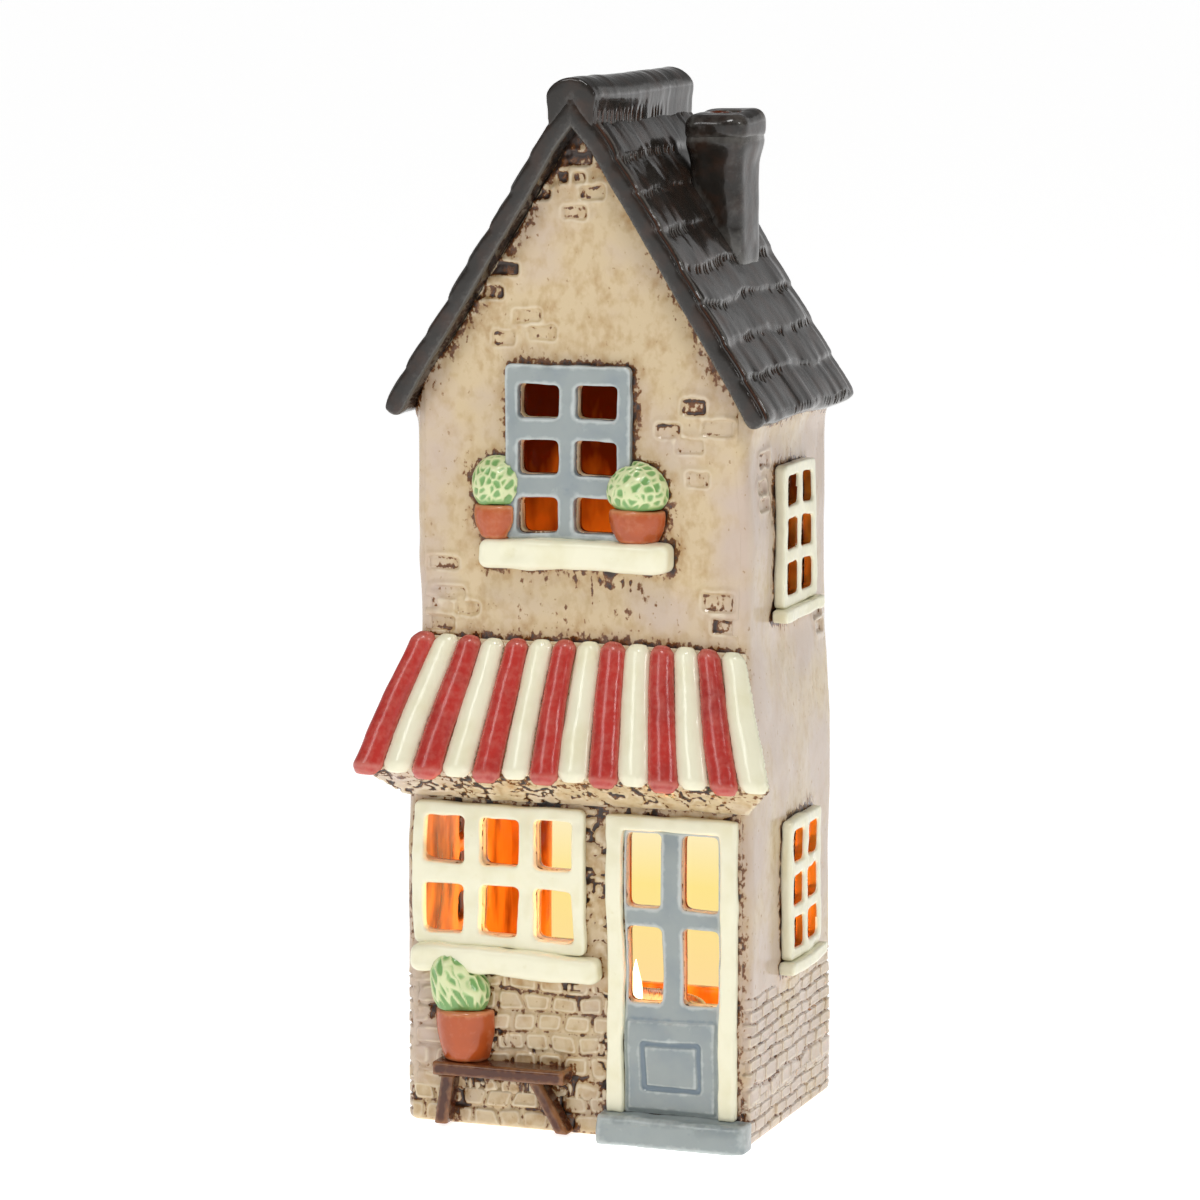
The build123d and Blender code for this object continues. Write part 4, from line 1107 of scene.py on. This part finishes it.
def turned(name, profile, steps, x=CUP_X):
    """Turn a profile of radius and height about an upright axis into a closed piece."""
    shell = bmesh.new()
    verts = [shell.verts.new((x + radius, CUP_Y, z)) for radius, z in profile]
    edges = [shell.edges.new(pair) for pair in itertools.pairwise(verts)]
    bmesh.ops.spin(
        shell,
        geom=verts + edges,
        cent=(x, CUP_Y, 0),
        axis=(0, 0, 1),
        angle=math.tau,
        steps=steps,
        use_merge=True,
    )
    bmesh.ops.remove_doubles(shell, verts=shell.verts, dist=0.002 * MM)
    bmesh.ops.recalc_face_normals(shell, faces=shell.faces)
    return add_object(name, save_shell(shell, bpy.data.meshes.new(name)))


def cup_piece():
    """Make the tealight's cup: thin drawn foil with fluted sides and a rolled rim."""
    radius = CUP_HIGH.x - CUP_X
    floor = CUP_LOW.z
    rim = CUP_HIGH.z
    inner = radius - 0.75 * MM
    heights = floor + np.linspace(0.1, 0.9, 9) * (rim - floor)
    profile = [
        (0, floor + 0.4 * MM),
        (radius - 3 * MM, floor + 0.4 * MM),
        (radius - 2.2 * MM, floor),
        (radius - 1.0 * MM, floor),
        (radius - 0.5 * MM, floor + 0.6 * MM),
        *((radius - 0.35 * MM, height) for height in heights),
        (radius, rim - 0.9 * MM),
        (radius, rim - 0.3 * MM),
        (radius - 0.25 * MM, rim),
        (radius - 0.6 * MM, rim - 0.2 * MM),
        *((inner, height) for height in reversed(heights)),
        (inner - 0.8 * MM, floor + 0.8 * MM),
        (0, floor + 0.8 * MM),
    ]
    piece = turned("tealight_cup_foil", profile, 96)
    mesh = piece.data
    points, _ = read_shape(mesh.vertices)
    turn = np.arctan2(points[:, 1] - CUP_Y, points[:, 0] - CUP_X)
    height = (points[:, 2] - floor) / (rim - floor)
    flute = 0.12 * MM * np.cos(32 * turn) * band(height, 0.1, 0.25, 0.7, 0.88)
    dent = (0.12 * MM + flute) * band(height, 0.05, 0.2, 0.8, 0.9)
    points[:, 0] -= np.cos(turn) * dent
    points[:, 1] -= np.sin(turn) * dent
    write_points(mesh, points)
    seat(piece, "tealight_cup", "foil")


def wax_piece():
    """Make the wax: a melted pool that climbs at the cup and at the wick."""
    low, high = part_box("tealight_wax")
    radius = high.x - CUP_X - 0.8 * MM
    base = low.z + 0.9 * MM
    pool = high.z - 1.1 * MM
    profile = [
        (0, base),
        (radius - 0.6 * MM, base),
        (radius, base + 0.6 * MM),
        (radius, high.z - 0.5 * MM),
        (radius - 0.5 * MM, high.z - 0.35 * MM),
        (radius - 1.8 * MM, pool + 0.25 * MM),
        *((share * radius, pool) for share in np.linspace(0.85, 0.1, 10)),
        (1.2 * MM, pool + 0.2 * MM),
        (0.4 * MM, pool + 0.6 * MM),
        (0, pool + 0.6 * MM),
    ]
    seat(turned("tealight_wax_pool", profile, 72), "tealight_wax", "wax")


def wick_piece():
    """Make the wick: a braid that curls over at its burnt end."""
    low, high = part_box("tealight_wick")
    radius = (high.x - low.x) / 2
    profile = [(0, low.z)]
    for share in np.linspace(0.02, 0.95, 24):
        braid = 0.86 + 0.1 * math.sin(share * 60)
        profile.append((radius * braid, low.z + share * (high.z - low.z)))
    profile.append((0, high.z))
    piece = turned("tealight_wick_braid", profile, 16)
    points, _ = read_shape(piece.data.vertices)
    points[:, 0] += 0.5 * MM * ease(points[:, 2], high.z - 5 * MM, high.z)
    write_points(piece.data, points)
    seat(piece, "tealight_wick", "wick")


def warm_lamp(name, place, energy, body):
    """Light the chamber with the candle's warm colour from one place."""
    lamp = bpy.data.lights.new(name, "POINT")
    lamp.energy = energy
    lamp.color = linear("FFC477")
    lamp.shadow_soft_size = 3 * MM
    light = add_object(name, lamp)
    light.location = place
    light.visible_glossy = False
    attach(light, body)


def flame_piece():
    """Make the flame: a drop of light on the wick, drawn out to its tip and leaning a little."""
    settings = sizes()
    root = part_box("tealight_wick")[1].z - 2.2 * MM
    tip = root + settings.flame_height
    profile = []
    for share in np.linspace(0, 1, 28):
        swell = math.sin(math.pi * share ** 0.62) ** 0.9 * (1 - 0.45 * share)
        profile.append((settings.flame_width / 2 * 1.25 * swell, root + share * settings.flame_height))
    profile[0] = (0, root)
    profile[-1] = (0, tip)
    piece = turned("candle_flame", profile, 32, CUP_X + 0.4 * MM)
    mesh = piece.data
    points, _ = read_shape(mesh.vertices)
    rise = (points[:, 2] - root) / settings.flame_height
    points[:, 0] += 1.3 * MM * ease(rise, 0.0, 0.7)
    write_points(mesh, points)
    write_values(mesh, rise=rise)
    smooth(mesh)
    mesh.materials.append(finish_of("flame"))
    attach(piece, "tealight")
    energy = bpy.context.scene.house_studio.flame_power
    warm_lamp("candle_light", (CUP_X + 2 * MM, CUP_Y, tip + 3 * MM), energy, "tealight")
    warm_lamp("chamber_light", (CUP_X, CUP_Y, CHAMBER_LAMP_Z), CHAMBER_LAMP_SHARE * energy, "house")


def stage_card(name, half_width, half_length, turn, place, finish):
    """Make a flat card of the stage, turned about its x axis and set in place."""
    shell = bmesh.new()
    bmesh.ops.create_grid(shell, x_segments=1, y_segments=1, size=1)
    bmesh.ops.scale(shell, verts=shell.verts, vec=(half_width, half_length, 1))
    bmesh.ops.rotate(shell, verts=shell.verts, matrix=Matrix.Rotation(turn, 3, "X"))
    bmesh.ops.translate(shell, verts=shell.verts, vec=place)
    card = add_object(name, save_shell(shell, bpy.data.meshes.new(name)))
    card.data.materials.append(finish_of(finish))


class HOUSE_OT_walls(bpy.types.Operator):
    """Glaze the walls and the base slab"""

    bl_idname = "house.walls"
    bl_label = "Walls"

    def execute(self, context):
        tree = applied_tree()
        wall("front_wall", tree, 1, -1, "front", FRONT_STAMPS)
        wall("rear_wall", tree, 1, 1, None, ())
        wall("right_wall", tree, 0, 1, "side", SIDE_STAMPS)
        wall("left_wall", tree, 0, -1, "side", SIDE_STAMPS)
        base_piece(tree)
        return {"FINISHED"}


class HOUSE_OT_roof(bpy.types.Operator):
    """Glaze the tiled slopes and the ridge"""

    bl_idname = "house.roof"
    bl_label = "Roof"

    def execute(self, context):
        tiled_slope("roof_left", -1)
        tiled_slope("roof_right", 1)
        ridge_piece()
        return {"FINISHED"}


class HOUSE_OT_chimney(bpy.types.Operator):
    """Glaze the chimney stack and its rim"""

    bl_idname = "house.chimney"
    bl_label = "Chimney"

    def execute(self, context):
        chimney_pieces()
        return {"FINISHED"}


class HOUSE_OT_awning(bpy.types.Operator):
    """Glaze the awning's body and its rolled stripes"""

    bl_idname = "house.awning"
    bl_label = "Awning"

    def execute(self, context):
        canopy_piece()
        for node, finish in (("awning_red_stripes", "red"), ("awning_cream_stripes", "ivory")):
            sprig(node, finish, rounds=9, lump=0.22, lump_size=10, swell=0.45)
        return {"FINISHED"}


class HOUSE_OT_windows(bpy.types.Operator):
    """Glaze the window frames and their sills"""

    bl_idname = "house.windows"
    bl_label = "Windows"

    def execute(self, context):
        sprig("upper_window_frame", "blue")
        sprig("shop_window_frame", "ivory")
        for sill in ("upper_window_sill", "shop_window_sill"):
            sprig(sill, "ivory", rounds=26, lump=0.4, lump_size=9, swell=0.25)
        for side, storey in itertools.product(("left", "right"), ("lower", "upper")):
            window = f"{side}_{storey}_window"
            line_panes(sprig(window + "_frame", "ivory"), window + "_frame")
            sprig(window + "_sill", "ivory")
        return {"FINISHED"}


class HOUSE_OT_door(bpy.types.Operator):
    """Glaze the door, its frame and its step"""

    bl_idname = "house.door"
    bl_label = "Door"

    def execute(self, context):
        sprig("door_frame", "ivory")
        sprig("door_leaf", "blue", rounds=6, lump=0.12)
        sprig("door_step", "blue", rounds=16, lump=0.35, lump_size=8)
        return {"FINISHED"}


class HOUSE_OT_bench(bpy.types.Operator):
    """Glaze the bench"""

    bl_idname = "house.bench"
    bl_label = "Bench"

    def execute(self, context):
        for node in ("bench_seat", "bench_left_leg", "bench_right_leg"):
            sprig(node, "bench", rounds=5, lump=0.14, lump_size=7)
        return {"FINISHED"}


class HOUSE_OT_plants(bpy.types.Operator):
    """Glaze the pots and the clipped bushes"""

    bl_idname = "house.plants"
    bl_label = "Plants"

    def execute(self, context):
        for node in ("upper_left_pot", "upper_right_pot", "bench_pot"):
            sprig(node, "terracotta", rounds=10, lump=0.2, lump_size=7, swell=0.15)
        bush("upper_left_bush", leaf_dots, 0.3 * MM)
        bush("upper_right_bush", leaf_dots, 0.3 * MM)
        bush("bench_bush", leaf_strokes, 0.45 * MM)
        return {"FINISHED"}


class HOUSE_OT_tealight(bpy.types.Operator):
    """Make the tealight, its flame and its glow"""

    bl_idname = "house.tealight"
    bl_label = "Tealight"

    def execute(self, context):
        cup_piece()
        wax_piece()
        wick_piece()
        flame_piece()
        # A card with a painted candle glow, set in the rear opening
        place = (0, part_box("rear_wall")[1].y - GLOW_INSET, GLOW_Z)
        stage_card("candle_glow_card", GLOW_HALF_WIDTH, GLOW_HALF_HEIGHT, math.pi / 2, place, "glow")
        sustainer = frame["nodes"]["wick_sustainer"]
        sustainer.data.materials.clear()
        sustainer.data.materials.append(finish_of("tin"))
        return {"FINISHED"}


def area_light(name, place, size, energy):
    """Hang a square soft light and turn it to the house."""
    lamp = bpy.data.lights.new(name, "AREA")
    lamp.size = size
    lamp.energy = energy
    light = add_object(name, lamp)
    light.location = place
    light.rotation_mode = "QUATERNION"
    light.rotation_quaternion = (Vector(LIGHT_AIM) - Vector(place)).to_track_quat("-Z", "Y")


def white_room(strength):
    """Give the room: white paper up to a little over the floor, and dimmer walls and ceiling above it."""
    world = bpy.data.worlds.new("white_room")
    world.use_nodes = True
    tree = world.node_tree
    toward = add_node(tree, "TexCoord", out="Generated")
    rise = add_node(tree, "SeparateXYZ", {0: toward}, "Z")
    greys = ((0.0, 1), (0.06, 0.72), (0.18, 0.32), (0.32, 0.16))
    stops = [(height, (grey, grey, grey, 1)) for height, grey in greys]
    tone = add_node(tree, "ValToRGB", {0: rise}, stops=stops)
    set_inputs(tree, tree.nodes["Background"], {"Color": tone, "Strength": strength})
    return world


class HOUSE_OT_stage(bpy.types.Operator):
    """Set up the floor, the lights and the camera"""

    bl_idname = "house.stage"
    bl_label = "Stage"

    def execute(self, context):
        scene = context.scene
        studio = scene.house_studio
        stage_card("studio_floor", FLOOR_HALF_WIDTH, FLOOR_HALF_WIDTH, 0, (0, 0, -FLOOR_DROP), "paper")
        for name, (place, size) in LIGHTS.items():
            area_light(name + "_light", place, size, getattr(studio, name + "_power"))
        scene.world = white_room(studio.room_light)
        scene.view_settings.view_transform = "Standard"

        lens = bpy.data.cameras.new("photo_camera")
        lens.lens = studio.focal_length
        lens.sensor_width = 36
        lens.clip_start = 0.05
        lens.clip_end = 100
        camera = add_object("photo_camera", lens)
        level = math.cos(studio.elevation)
        back = Vector((
            math.sin(studio.azimuth) * level,
            -math.cos(studio.azimuth) * level,
            math.sin(studio.elevation),
        ))
        target = Vector((studio.target_x, studio.target_y, studio.target_z))
        camera.location = target + back * studio.distance
        camera.rotation_mode = "QUATERNION"
        camera.rotation_quaternion = (-back).to_track_quat("-Z", "Y")
        scene.camera = camera
        return {"FINISHED"}


STEPS = ("stage", "walls", "roof", "chimney", "awning", "windows", "door", "bench", "plants", "tealight")


class HOUSE_PT_panel(bpy.types.Panel):
    """Steps that glaze the shop house"""

    bl_label = "Shop House"
    bl_space_type = "VIEW_3D"
    bl_region_type = "UI"
    bl_category = "Shop House"

    def draw(self, context):
        for step in STEPS:
            self.layout.operator("house." + step)


CLASSES = (
    HouseSizes,
    GlazeColours,
    StudioSettings,
    HOUSE_OT_walls,
    HOUSE_OT_roof,
    HOUSE_OT_chimney,
    HOUSE_OT_awning,
    HOUSE_OT_windows,
    HOUSE_OT_door,
    HOUSE_OT_bench,
    HOUSE_OT_plants,
    HOUSE_OT_tealight,
    HOUSE_OT_stage,
    HOUSE_PT_panel,
)


def register():
    """Register the classes and keep their settings on the scene."""
    for cls in CLASSES:
        bpy.utils.register_class(cls)
    bpy.types.Scene.house_sizes = bpy.props.PointerProperty(type=HouseSizes)
    bpy.types.Scene.house_colours = bpy.props.PointerProperty(type=GlazeColours)
    bpy.types.Scene.house_studio = bpy.props.PointerProperty(type=StudioSettings)


def unregister():
    """Take the settings off the scene and unregister the classes."""
    del bpy.types.Scene.house_studio
    del bpy.types.Scene.house_colours
    del bpy.types.Scene.house_sizes
    for cls in reversed(CLASSES):
        bpy.utils.unregister_class(cls)


def main():
    """Register the classes, then run every step."""
    register()
    for step in STEPS:
        getattr(bpy.ops.house, step)()


if __name__ == "__main__":
    main()
